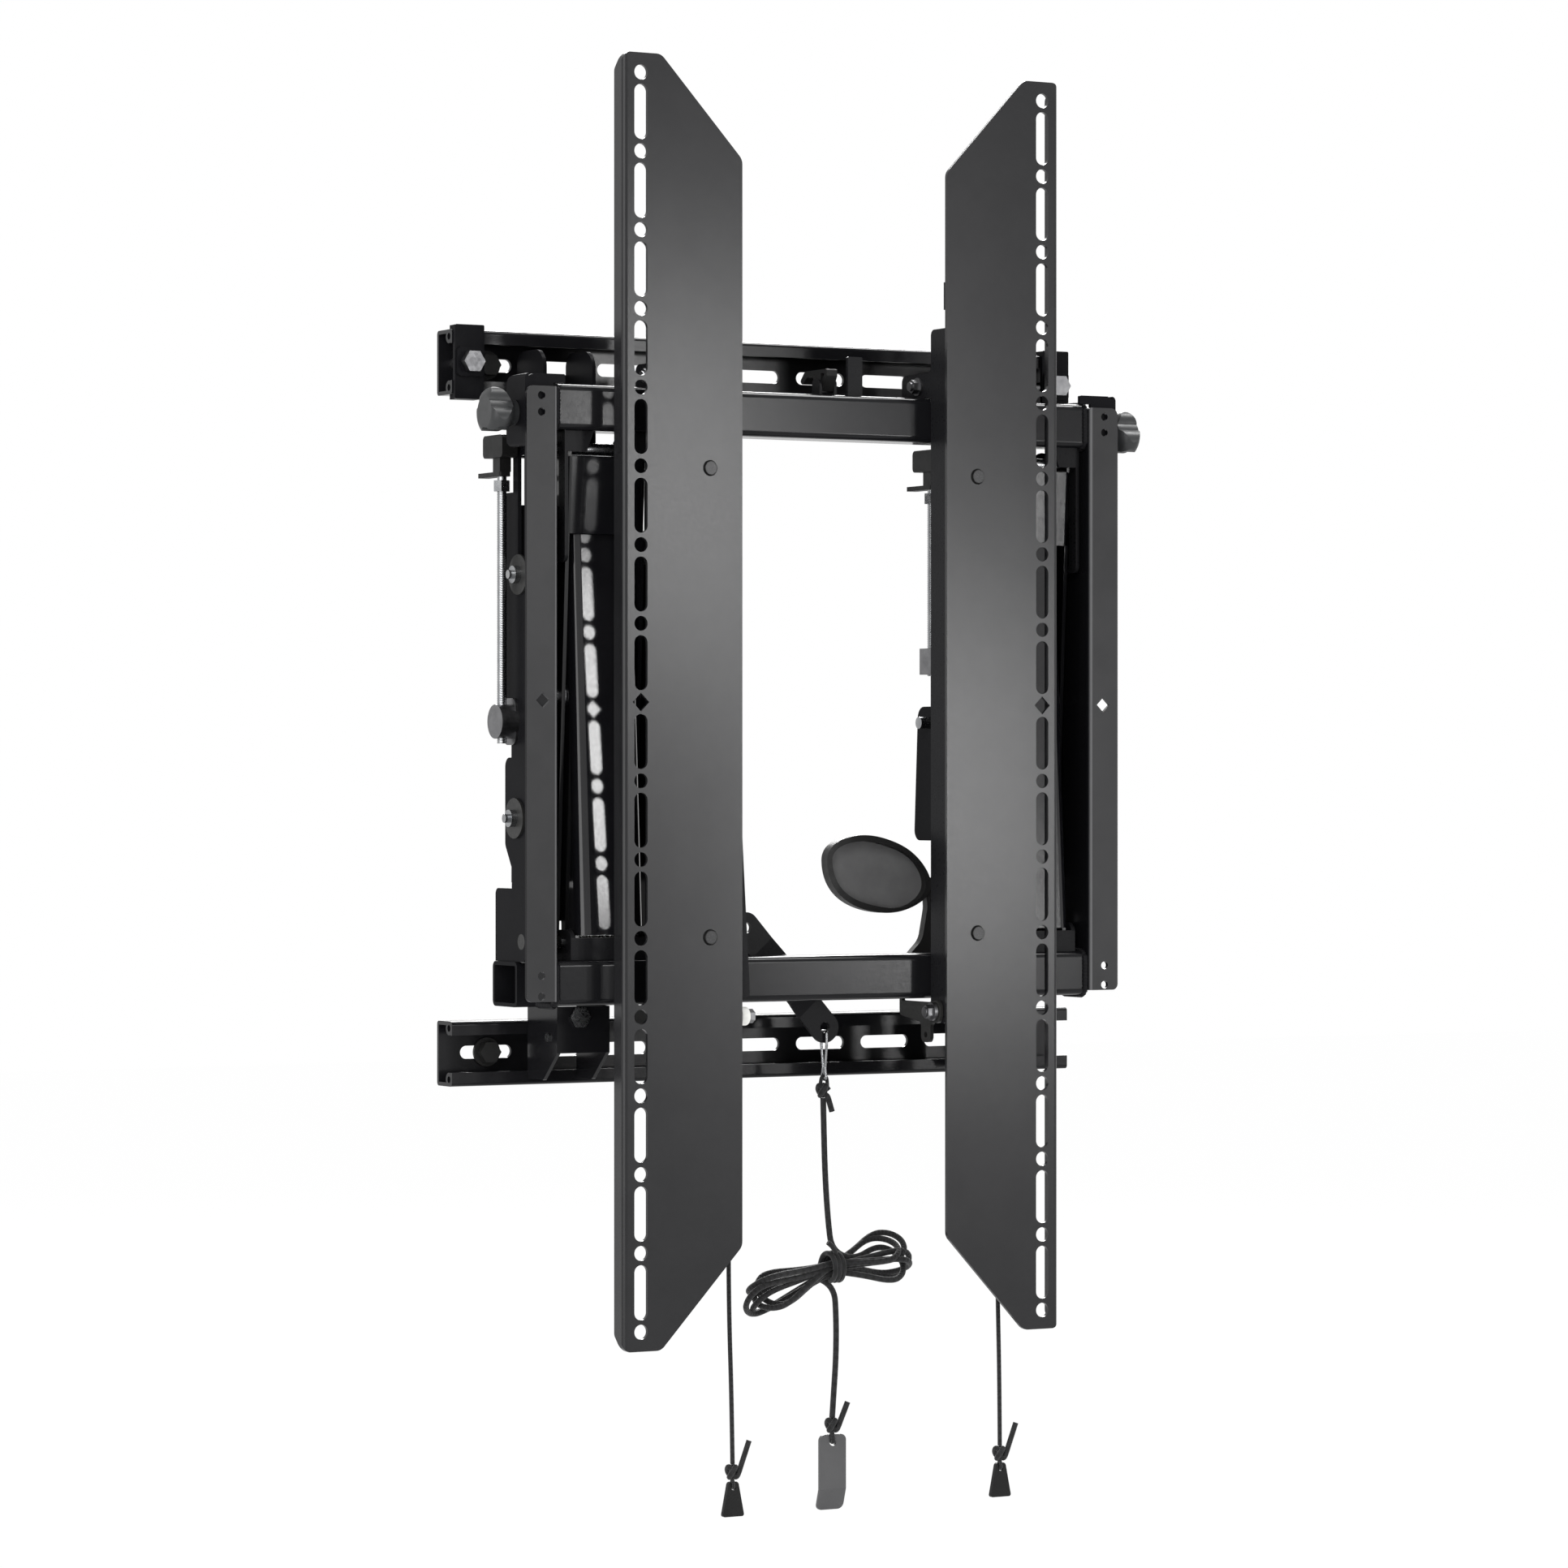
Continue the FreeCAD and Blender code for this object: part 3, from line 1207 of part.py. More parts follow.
left_route = [(-72.2, -101.0, -211.0), (-73.2, -101.4, -268.0), (-74.2, -101.0, -330.0),
              (-73.4, -100.4, -392.0), (-71.4, -100.2, -444.0), (-70.6, -100.0, -488.0)]
right_route = [(127.8, -101.0, -211.0), (127.9, -101.4, -268.0), (128.6, -101.0, -330.0),
               (130.0, -100.4, -392.0), (131.4, -100.2, -444.0), (131.8, -100.0, -488.0)]
upper_route = [(16.8, -65.0, -256.0), (17.2, -65.4, -284.0), (18.4, -65.2, -312.0), (20.6, -64.8, -337.0),
               (23.4, -64.6, -357.0)]
lower_route = [(25.4, -64.6, -379.0), (26.8, -64.8, -402.0), (26.4, -65.2, -427.0), (24.8, -65.2, -449.0),
               (23.6, -65.0, -467.0)]
knot_length = 11.0
pull_tab_bottom = -522.0
pull_tab_eye = 1.6


def make_knot(point, radius, length):
    """Plain knot: a short barrel with rounded ends, centred on a point."""
    start = V(*point) - V(0, 0, length / 2)
    barrel = Part.makeCylinder(radius, length, start)
    return barrel.makeFillet(radius * 0.4, [e for e in barrel.Edges if len(e.Vertexes) == 1])


def make_pull_tab(x, y, top, bottom):
    """Small triangular pull tab with an eye at its tip."""
    tab = plate_y([(x - 3.5, top, 2.5), (x + 3.5, top, 2.5), (x + 8, bottom, 1.5), (x - 8, bottom, 1.5)],
                  y - 1.5, y + 1.5)
    return tab.cut(rod((0, 1, 0), (x, y - 2, top - 4), pull_tab_eye, 4))


for side, route in (("left", left_route), ("right", right_route)):
    x, y, z = route[-1]
    knot = make_knot((x, y, z - knot_length / 2), 3.6, knot_length)
    parts[side + "_pull_cord"] = fuse(make_cord(route, pull_cord_radius), knot)
    parts[side + "_pull_tab"] = make_pull_tab(x, y, z - knot_length - lip_clearance, pull_tab_bottom)


hank_half_depth = 10.0


def make_hank():
    """Outer shape of the tied hank: a bow with a narrow waist."""
    x0, y0, z0 = upper_route[-1]
    x1, y1, z1 = lower_route[0]
    y = (y0 + y1) / 2
    outline = [(-46, -386, 5), (-40, -399, 5), (-24, -399, 8), (14, -380, 20), (x1 - 4, z1, 3),
               (x1 + 4, z1, 3), (48, -376, 20), (84, -379, 4), (85, -369, 4), (78, -366, 3), (74, -347, 10),
               (58, -342, 10), (36, -355, 20), (x0 + 4, z0, 3), (x0 - 4, z0, 3), (-8, -371, 30),
               (-40, -378, 4)]
    return plate_y(outline, y - hank_half_depth, y + hank_half_depth)


parts["cord_hank"] = make_hank()

tag_half = 10.0
tag_top = -478.0
tag_bend = -514.0
tag_bottom = -528.0
tag_wall = 2.0
tag_kick = 4.5


def make_tag():
    """Bent steel tag on the cord's end that hooks it up out of the way."""
    x, y, z = lower_route[-1]
    front = y - tag_wall / 2
    back = front + tag_wall
    side_view = [(front, tag_top), (back, tag_top), (back, tag_bend), (back + tag_kick, tag_bottom),
                 (front + tag_kick, tag_bottom), (front, tag_bend)]
    bent = plate_x(side_view, x - tag_half, x + tag_half)
    front_view = rounded_box(x - tag_half, x + tag_half, tag_bottom, tag_top, 4)
    eye = rod((0, 1, 0), (x, front - 1, tag_top - 5), 2.5, tag_wall + 2)
    return bent.common(plate_y(front_view, front - 1, back + tag_kick + 1)).cut(eye)


def make_release_cord():
    """The two straight runs of the release cord and their knots."""
    x, y, z = upper_route[0]
    top_knot = make_knot((x, y, z + knot_length / 2), 4.2, knot_length)
    x, y, z = lower_route[-1]
    low_knot = make_knot((x, y, z - knot_length / 2), 4.2, knot_length)
    upper = make_cord(upper_route, main_cord_radius)
    lower = make_cord(lower_route, main_cord_radius)
    return group(fuse(upper, top_knot), fuse(lower, low_knot))


parts["release_cord"] = make_release_cord()
parts["cord_tag"] = make_tag()

os.makedirs("parts", exist_ok=True)
for name, shape in parts.items():
    print(name, len(shape.Solids), round(shape.Volume), shape.isValid())
    shape.exportStep(os.path.join("parts", name + ".step"))
print(len(parts), "nodes")
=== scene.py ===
"""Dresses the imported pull-out wall mount: finishes, cords, threads, welds, studio light and camera."""
import math

import bpy
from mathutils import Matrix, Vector


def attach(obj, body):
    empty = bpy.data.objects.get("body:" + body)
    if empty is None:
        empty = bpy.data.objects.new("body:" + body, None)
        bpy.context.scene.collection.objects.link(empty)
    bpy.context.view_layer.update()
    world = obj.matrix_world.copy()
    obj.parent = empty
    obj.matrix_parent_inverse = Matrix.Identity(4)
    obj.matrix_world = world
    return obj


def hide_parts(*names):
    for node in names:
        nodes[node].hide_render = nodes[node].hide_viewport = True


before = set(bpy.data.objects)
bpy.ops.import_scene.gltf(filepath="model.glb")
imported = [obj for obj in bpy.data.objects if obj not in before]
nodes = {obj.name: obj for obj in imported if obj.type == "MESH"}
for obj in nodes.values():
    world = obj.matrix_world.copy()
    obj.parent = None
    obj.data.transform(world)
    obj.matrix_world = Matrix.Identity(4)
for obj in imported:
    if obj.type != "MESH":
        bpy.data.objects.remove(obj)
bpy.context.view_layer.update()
MM = 0.001

# Camera, from the photograph's vanishing points
CAMERA_PLACE = (-1.76665, -3.1903, -0.049)
CAMERA_TURN = math.radians(-29.3)
CAMERA_LENS = 125.33
CAMERA_SENSOR = 36.0
CAMERA_REACH = 50

camera = bpy.data.objects.new("camera", bpy.data.cameras.new("camera"))
camera.data.lens = CAMERA_LENS
camera.data.sensor_width = CAMERA_SENSOR
camera.data.clip_end = CAMERA_REACH
camera.location = CAMERA_PLACE
camera.rotation_euler = (math.pi / 2, 0, CAMERA_TURN)
bpy.context.scene.collection.objects.link(camera)
bpy.context.scene.camera = camera
bpy.context.scene.view_settings.view_transform = "Standard"


class Graph:
    """Short spelling for building a node tree."""

    def __init__(self, tree):
        self.tree = tree
        tree.nodes.clear()

    def add(self, kind, **settings):
        node = self.tree.nodes.new(kind)
        for key, value in settings.items():
            if key in node.inputs:
                node.inputs[key].default_value = value
            else:
                setattr(node, key.lower(), value)
        return node

    def link(self, source, target):
        self.tree.links.new(source, target)

    def coordinates(self, kind):
        return self.add("ShaderNodeTexCoord").outputs[kind]

    def split(self, vector):
        node = self.add("ShaderNodeSeparateXYZ")
        self.link(vector, node.inputs[0])
        return node.outputs

    def noise(self, place, scale, detail=3.0, rough=0.55):
        node = self.add("ShaderNodeTexNoise", Scale=scale, Detail=detail, Roughness=rough)
        self.link(place, node.inputs["Vector"])
        return node.outputs["Fac"]

    def remap(self, value, low, high, start=0.3, end=0.7):
        node = self.add("ShaderNodeMapRange")
        self.link(value, node.inputs["Value"])
        for name, number in (("From Min", start), ("From Max", end), ("To Min", low), ("To Max", high)):
            node.inputs[name].default_value = number
        return node.outputs["Result"]

    def math(self, operation, first, second=0.0):
        node = self.add("ShaderNodeMath", operation=operation)
        for socket, value in zip(node.inputs, (first, second)):
            if isinstance(value, (int, float)):
                socket.default_value = value
            else:
                self.link(value, socket)
        return node.outputs[0]

    def tint(self, fac, dark, light):
        node = self.add("ShaderNodeMix", data_type="RGBA")
        self.link(fac, node.inputs["Factor"])
        for socket, value in zip((node.inputs[6], node.inputs[7]), (dark, light)):
            if isinstance(value, tuple):
                socket.default_value = (*value, 1)
            else:
                self.link(value, socket)
        return node.outputs[2]

    def bump(self, height, strength, distance):
        node = self.add("ShaderNodeBump", Strength=strength, Distance=distance)
        self.link(height, node.inputs["Height"])
        return node.outputs["Normal"]

    def mix(self, share, first, second):
        node = self.add("ShaderNodeMixShader")
        for socket, value in zip(node.inputs, (share, first.outputs[0], second.outputs[0])):
            self.link(value, socket)
        return node.outputs[0]


def new_material(name):
    material = bpy.data.materials.new(name)
    material.use_nodes = True
    graph = Graph(material.node_tree)
    shader = graph.add("ShaderNodeBsdfPrincipled")
    output = graph.add("ShaderNodeOutputMaterial")
    graph.link(shader.outputs[0], output.inputs["Surface"])
    return material, graph, shader, graph.coordinates("Object")


# Coats: noise scales, bump height in metres, and how far a face turns to take a bend's painted highlight or a
# side's painted shade
COAT_CLOUD = 30
COAT_GLOSS = 420
COAT_PEEL = 0.0002
PAINTED_HIGHLIGHT_TURN = (0.1, 0.3)
PAINTED_SHADE_TURN = (0.5, 0.9)


def coated_metal(name, dark, light, rough, grain, strength, specular, side=None, bend=None):
    """Powder coat or oxide: cloudy tone, uneven gloss and orange peel, with a painted highlight on bends and
    painted shade on sides where asked for.
    """
    material, graph, shader, place = new_material(name)
    cloud = graph.noise(place, COAT_CLOUD, detail=4)
    colour = graph.tint(graph.remap(cloud, 0, 1), dark, light)
    # Painted shade on faces that turn sideways (side), and a painted highlight on the bends that lead to them
    # (bend)
    if side:
        turn = graph.math("ABSOLUTE", graph.split(graph.coordinates("Normal"))[0])
        colour = graph.tint(graph.remap(turn, 0, 1, *PAINTED_HIGHLIGHT_TURN), colour, bend)
        colour = graph.tint(graph.remap(turn, 0, 1, *PAINTED_SHADE_TURN), colour, side)
    graph.link(colour, shader.inputs["Base Color"])
    gloss = graph.noise(place, COAT_GLOSS, detail=4)
    graph.link(graph.remap(gloss, *rough), shader.inputs["Roughness"])
    peel = graph.noise(place, grain, detail=2, rough=0.5)
    graph.link(graph.bump(peel, strength, COAT_PEEL), shader.inputs["Normal"])
    shader.inputs["Specular IOR Level"].default_value = specular
    return material


# Plate rivets: their places in metres, radius of the face and of the ring of painted shade about it in
# millimetres, and tones
RIVET_PLACES = {"left_rivets": ((-0.1, -0.124, 0.153), (-0.1, -0.124, -0.147)),
                "right_rivets": ((0.1, -0.124, 0.153), (0.1, -0.124, -0.147))}
RIVET_FACE = 3.7
RIVET_SHADE_RADIUS = 4.3
RIVET_TONES = ((0.013, 0.013, 0.014), (0.017, 0.017, 0.018))
RIVET_SHADE_TONE = (0.006, 0.006, 0.006)
RIVET_SPECULAR = (0.25, 0.10)
RIVET_ROUGH = (0.22, 0.30)
RIVET_CLOUD = 300
RIVET_GLOSS = 900


def rivet_coat(name, node):
    """The plates' coat on a plate's two rivet heads, with a ring of painted shade where each head's face
    meets its rim.
    """
    material, graph, shader, place = new_material(name)
    inverse = nodes[node].matrix_world.inverted()
    upper, lower = (inverse @ Vector(spot) for spot in RIVET_PLACES[node])
    middle = (upper + lower) / 2
    x, _, z = graph.split(place)
    across = graph.math("SUBTRACT", x, middle.x)
    height = graph.math("ABSOLUTE", graph.math("SUBTRACT", z, middle.z))
    height = graph.math("SUBTRACT", height, abs(upper.z - middle.z))
    square = graph.math("ADD", graph.math("POWER", graph.math("ABSOLUTE", across), 2.0),
                        graph.math("POWER", graph.math("ABSOLUTE", height), 2.0))
    # Painted shade: a dark ring with less specular between the face and the rim
    rim = graph.remap(graph.math("SQRT", square), 0, 1, RIVET_FACE * MM, RIVET_SHADE_RADIUS * MM)
    face = graph.tint(graph.remap(graph.noise(place, RIVET_CLOUD), 0, 1), *RIVET_TONES)
    graph.link(graph.tint(rim, face, RIVET_SHADE_TONE), shader.inputs["Base Color"])
    graph.link(graph.remap(rim, *RIVET_SPECULAR, 0, 1), shader.inputs["Specular IOR Level"])
    graph.link(graph.remap(graph.noise(place, RIVET_GLOSS), *RIVET_ROUGH), shader.inputs["Roughness"])
    return material


METAL_BLOTCH = 120
STREAK_STRENGTH = 0.05
STREAK_HEIGHT = 0.0001


def plated_metal(name, dark, light, rough, streak):
    """Zinc: bright metal with fine streaks and faint blotches."""
    material, graph, shader, place = new_material(name)
    blotch = graph.noise(place, METAL_BLOTCH, detail=5)
    graph.link(graph.tint(graph.remap(blotch, 0, 1), dark, light), shader.inputs["Base Color"])
    fine = graph.noise(place, streak, detail=4, rough=0.6)
    graph.link(graph.remap(fine, *rough), shader.inputs["Roughness"])
    graph.link(graph.bump(fine, STREAK_STRENGTH, STREAK_HEIGHT), shader.inputs["Normal"])
    shader.inputs["Metallic"].default_value = 1.0
    return material


# Plastic: noise scales, bump, and what counts as a dish's floor by its depth and by how it faces the front;
# the rest of a dish is painted shade
PLASTIC_CLOUD = 60
PLASTIC_GLOSS = 200
SPARK_STRENGTH = 0.15
SPARK_HEIGHT = 0.0002
DISH_STEP = 1.0
DISH_FACING = (-0.85, -0.6)


def moulded_plastic(name, dark, light, rough, grain, specular=0.3, rim=None, depth=0.0):
    """Injection-moulded plastic with a fine spark-eroded texture; a dish takes painted shade in the rim tone
    on all but its sunk floor.
    """
    material, graph, shader, place = new_material(name)
    cloud = graph.noise(place, PLASTIC_CLOUD)
    colour = graph.tint(graph.remap(cloud, 0, 1), dark, light)
    if rim:
        sunk = graph.remap(graph.split(place)[1], 0, 1, depth - DISH_STEP * MM, depth)
        front = graph.remap(graph.split(graph.coordinates("Normal"))[1], 1, 0, *DISH_FACING)
        # The dish's rim and walls take the rim tone: painted shade
        colour = graph.tint(graph.math("MULTIPLY", sunk, front), rim, colour)
    graph.link(colour, shader.inputs["Base Color"])
    cell = graph.add("ShaderNodeTexVoronoi", Scale=grain)
    graph.link(place, cell.inputs["Vector"])
    graph.link(graph.remap(graph.noise(place, PLASTIC_GLOSS), *rough), shader.inputs["Roughness"])
    graph.link(graph.bump(cell.outputs["Distance"], SPARK_STRENGTH, SPARK_HEIGHT), shader.inputs["Normal"])
    shader.inputs["Specular IOR Level"].default_value = specular
    return material


# Cord sheath: yarns to a girth as an angle, tones from the painted shade between the yarns to their crowns,
# fuzz and gloss
YARNS_AROUND = 12.566
YARN_TONES = ((0.006, 0.006, 0.006), (0.013, 0.013, 0.014))
YARN_RANGE = (-0.5, 1.0)
FUZZ_SCALE = 3000
FUZZ_SHARE = 0.6
YARN_STRENGTH = 0.35
YARN_HEIGHT = 0.0003
CORD_ROUGH = 0.75
CORD_SPECULAR = 0.25
CORD_SHEEN = 0.15


def braided_cord(name, along):
    """Braided sheath: two crossing sets of yarns read from the cord's own length and girth."""
    material, graph, shader, place = new_material(name)
    u, v, _ = graph.split(graph.coordinates("UV"))
    run = graph.math("MULTIPLY", u, along)
    turn = graph.math("MULTIPLY", v, YARNS_AROUND)
    first = graph.math("SINE", graph.math("ADD", run, turn))
    second = graph.math("SINE", graph.math("SUBTRACT", run, turn))
    yarn = graph.math("MAXIMUM", first, second)
    # Darker between the yarns: painted shade
    graph.link(graph.tint(graph.remap(yarn, 0, 1, *YARN_RANGE), *YARN_TONES), shader.inputs["Base Color"])
    fuzz = graph.math("ADD", yarn, graph.math("MULTIPLY", graph.noise(place, FUZZ_SCALE), FUZZ_SHARE))
    graph.link(graph.bump(fuzz, YARN_STRENGTH, YARN_HEIGHT), shader.inputs["Normal"])
    shader.inputs["Roughness"].default_value = CORD_ROUGH
    shader.inputs["Specular IOR Level"].default_value = CORD_SPECULAR
    shader.inputs["Sheen Weight"].default_value = CORD_SHEEN
    return material


plate_coat = coated_metal("plate_coat", dark=(0.012, 0.012, 0.013), light=(0.015, 0.015, 0.016),
                          rough=(0.19, 0.22), grain=1500, strength=0.05, specular=0.25)
frame_coat = coated_metal("frame_coat", dark=(0.008, 0.008, 0.009), light=(0.011, 0.011, 0.012),
                          rough=(0.26, 0.32), grain=1300, strength=0.10, specular=0.05)
# Posts: black coat painted lighter as a painted reflection, with painted shade on the side flanges and a
# painted highlight along the bends
post_painted_light_coat = coated_metal("post_painted_light_coat", dark=(0.032, 0.032, 0.033), light=(0.038, 0.038, 0.039),
                         rough=(0.20, 0.26), grain=1300, strength=0.06, specular=0.06,
                         side=(0.005, 0.005, 0.006), bend=(0.13, 0.13, 0.133))
# Darker copy of the frame coat with less specular: its darker tone is painted shade for parts that sit in
# shade
shade_coat = coated_metal("shade_coat", dark=(0.006, 0.006, 0.007), light=(0.008, 0.008, 0.009),
                          rough=(0.28, 0.36), grain=1300, strength=0.12, specular=0.02)
rail_coat = coated_metal("rail_coat", dark=(0.006, 0.006, 0.007), light=(0.008, 0.008, 0.009),
                         rough=(0.15, 0.19), grain=700, strength=0.06, specular=0.20)
gloss_coat = coated_metal("gloss_coat", dark=(0.006, 0.006, 0.007), light=(0.008, 0.008, 0.009),
                          rough=(0.16, 0.20), grain=700, strength=0.06, specular=0.16)
arm_coat = coated_metal("arm_coat", dark=(0.004, 0.004, 0.005), light=(0.006, 0.006, 0.007),
                        rough=(0.09, 0.13), grain=500, strength=0.04, specular=0.42)
tag_coat = coated_metal("tag_coat", dark=(0.045, 0.045, 0.047), light=(0.060, 0.060, 0.062),
                        rough=(0.32, 0.42), grain=1800, strength=0.12, specular=0.5)
black_oxide = coated_metal("black_oxide", dark=(0.010, 0.010, 0.010), light=(0.020, 0.020, 0.019),
                           rough=(0.40, 0.52), grain=900, strength=0.10, specular=0.3)
bright_zinc = plated_metal("bright_zinc", dark=(0.24, 0.245, 0.255), light=(0.34, 0.345, 0.35),
                           rough=(0.20, 0.32), streak=700)
dull_zinc = plated_metal("dull_zinc", dark=(0.13, 0.13, 0.135), light=(0.19, 0.19, 0.195),
                         rough=(0.30, 0.44), streak=500)
grey_plastic = moulded_plastic("grey_plastic", dark=(0.022, 0.023, 0.024), light=(0.029, 0.030, 0.031),
                               rough=(0.34, 0.44), grain=1600)
DISH_FLOOR = -0.0495
dish_place = nodes["cable_holder"].matrix_world.inverted() @ Vector((0, DISH_FLOOR, 0))
# Dish: grey floor; its rim tone is painted shade on the rim and walls
dish_plastic = moulded_plastic("dish_plastic", dark=(0.105, 0.105, 0.106), light=(0.130, 0.130, 0.131),
                               rough=(0.46, 0.56), grain=900, rim=(0.010, 0.010, 0.010), depth=dish_place.y)
black_plastic = moulded_plastic("black_plastic", dark=(0.009, 0.009, 0.009), light=(0.013, 0.013, 0.013),
                                rough=(0.40, 0.50), grain=1500, specular=0.12)
nylon = moulded_plastic("nylon", dark=(0.72, 0.72, 0.69), light=(0.78, 0.78, 0.75),
                        rough=(0.40, 0.50), grain=1200)
pull_braid = braided_cord("pull_braid", along=420)
main_braid = braided_cord("main_braid", along=2200)
knot_braid = braided_cord("knot_braid", along=90)
left_rivet_coat = rivet_coat("left_rivet_coat", "left_rivets")
right_rivet_coat = rivet_coat("right_rivet_coat", "right_rivets")

FINISH = {
    plate_coat: ("left_display_plate", "right_display_plate"),
    left_rivet_coat: ("left_rivets",),
    right_rivet_coat: ("right_rivets",),
    post_painted_light_coat: ("left_post", "right_post"),
    frame_coat: ("slide_tracks", "pivot_lugs", "hook_bracket",
                 "left_hook_rail", "right_hook_rail", "release_lever"),
    shade_coat: ("left_side_channel", "right_side_channel", "left_wall_hook", "right_wall_hook",
                 "lower_back_tube", "upper_back_tube", "lock_lever", "knob_brackets", "rail_clamps"),
    rail_coat: ("upper_wall_rail", "lower_wall_rail"),
    gloss_coat: ("upper_front_tube", "lower_front_tube", "column_feet"),
    arm_coat: ("left_outer_arm", "right_outer_arm", "left_inner_arm", "right_inner_arm"),
    tag_coat: ("cord_tag",),
    black_oxide: ("guide_washers", "rail_anchor_bolts", "pivot_shafts", "left_latch", "right_latch"),
    bright_zinc: ("left_height_screw", "right_height_screw", "back_frame_bolts",
                  "left_outer_pins", "right_outer_pins", "front_frame_pins", "cord_clip"),
    dull_zinc: ("rail_clamp_bolts", "cross_nuts", "left_bracket_pins", "right_bracket_pins"),
    grey_plastic: ("left_clamp_knob", "right_clamp_knob"),
    dish_plastic: ("cable_holder",),
    black_plastic: ("screw_blocks", "spring_hook", "left_pull_tab", "right_pull_tab"),
    nylon: ("left_latch_roller", "right_latch_roller"),
}
EDGE_ANGLE = math.radians(38)
EDGE_WIDTH = 0.35 * MM


def dress(node, material):
    """Gives a CAD node its finish and a fine rounded edge that catches the light."""
    piece = nodes[node]
    piece.data.materials.clear()
    piece.data.materials.append(material)
    edge = piece.modifiers.new("edge", "BEVEL")
    edge.width = EDGE_WIDTH
    edge.segments = 2
    edge.limit_method = "ANGLE"
    edge.angle_limit = EDGE_ANGLE
    edge.harden_normals = True


for finish, names in FINISH.items():
    for name in names:
        dress(name, finish)


def link_piece(name, data, material, body):
    """New piece that rides on a body."""
    piece = bpy.data.objects.new(name, data)
    bpy.context.scene.collection.objects.link(piece)
    data.materials.append(material)
    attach(piece, body)
    return piece


def cord_curve(name, points):
    """Smooth line: one open NURBS spline with the route's points as its control points, in millimetres."""
    curve = bpy.data.curves.new(name, "CURVE")
    curve.dimensions = "3D"
    curve.resolution_u = 8
    spline = curve.splines.new("NURBS")
    spline.points.add(len(points) - 1)
    for point, place in zip(spline.points, points):
        point.co = (*(value * MM for value in place), 1)
    spline.order_u = 3
    spline.use_endpoint_u = True
    return curve


def cord_piece(name, points, radius, material, body):
    curve = cord_curve(name, points)
    curve.bevel_depth = radius * MM
    curve.bevel_resolution = 4
    curve.use_fill_caps = True
    return link_piece(name, curve, material, body)


def length_of(points):
    """Length of the smooth line that a cord's control points give, in metres."""
    curve = cord_curve("measure", points)
    probe = bpy.data.objects.new("measure", curve)
    line = bpy.data.meshes.new_from_object(probe)
    places = [v.co.copy() for v in line.vertices]
    bpy.data.objects.remove(probe)
    bpy.data.curves.remove(curve)
    bpy.data.meshes.remove(line)
    return sum((b - a).length for a, b in zip(places, places[1:]))


def offset_points(base, offsets, scale=1.0):
    """Points that are given as offsets from a base point."""
    return [tuple(Vector(base) + Vector(offset) * scale) for offset in offsets]


# Overhand knot: points on its loop, how far it reaches out by lobe, its width and height, and its tail
KNOT_STEPS = 15
KNOT_LOBES = 3
KNOT_TURNS = 2
KNOT_REACH = 0.62
KNOT_LOBE_REACH = 0.38
KNOT_WIDTH = 0.9
KNOT_HEIGHT = 0.85
TAIL_SHARES = (0.35, 0.7, 1.0)


def knot_piece(name, end, lift, tail, radius, size, body):
    """Overhand knot above or below a cord's end: a tight crossing loop with a cut tail that stands out."""
    middle = Vector(end) + Vector((0, 0, lift))
    points = []
    for step in range(KNOT_STEPS):
        angle = 2 * math.pi * step / KNOT_STEPS
        lobe = KNOT_LOBES * angle
        reach = size * KNOT_WIDTH * (KNOT_REACH + KNOT_LOBE_REACH * math.cos(lobe))
        points.append((middle.x + reach * math.cos(KNOT_TURNS * angle),
                       middle.y + reach * math.sin(KNOT_TURNS * angle),
                       middle.z + size * KNOT_HEIGHT * math.sin(lobe)))
    start = Vector(points[-1])
    points += [tuple(start.lerp(middle + Vector(tail), share)) for share in TAIL_SHARES]
    return cord_piece(name, points, radius, knot_braid, body)


# Cord radii and the routes' control points, in millimetres
PULL_RADIUS = 1.5
MAIN_RADIUS = 2.0
LEFT_ROUTE = [(-72.2, -101.0, -211.0), (-73.2, -101.4, -268.0), (-74.2, -101.0, -330.0),
              (-73.4, -100.4, -392.0), (-71.4, -100.2, -444.0), (-70.6, -100.0, -488.0)]
RIGHT_ROUTE = [(127.8, -101.0, -211.0), (127.9, -101.4, -268.0), (128.6, -101.0, -330.0),
               (130.0, -100.4, -392.0), (131.4, -100.2, -444.0), (131.8, -100.0, -488.0)]
UPPER_ROUTE = [(16.8, -65.0, -256.0), (17.2, -65.4, -284.0), (18.4, -65.2, -312.0), (20.6, -64.8, -337.0),
               (23.4, -64.6, -357.0)]
LOWER_ROUTE = [(25.4, -64.6, -379.0), (26.8, -64.8, -402.0), (26.4, -65.2, -427.0), (24.8, -65.2, -449.0),
               (23.6, -65.0, -467.0)]

# Knots: height of the middle above the cord's end, the tail's tip from the middle, cord radius and size
TOP_KNOT = (5.1, (5, -3, -14), 1.9, 4.6)
TAG_KNOT = (-4.9, (10, -3, 15), 1.9, 4.6)
PULL_KNOT = (-5.1, (10, -4, 20), 1.8, 4.7)

# Loop of cord from a knot through the eye below it, as offsets from the end of the cord
TAB_LOOP = [(-0.8, -1.2, -7.5), (-1.0, -2.9, -11.5), (-0.2, -2.4, -15.4), (0.2, 2.4, -15.4),
            (1.0, 2.9, -11.5), (0.8, 1.2, -7.5)]
TAB_LOOP_RADIUS = 1.0
TAG_LOOP_RADIUS = 1.3
TAG_LOOP_SCALE = 1.05

# Loop of cord from the top knot over the wire clip's lower bar, as offsets from the top of the cord
CLIP_LOOP = [(-2.2, 0, 7.5), (-1.9, 0, 12.0), (-0.6, 0, 14.6), (1.8, 0, 14.6), (3.1, 0, 12.0), (3.2, 0, 7.5)]
CLIP_LOOP_RADIUS = 1.2

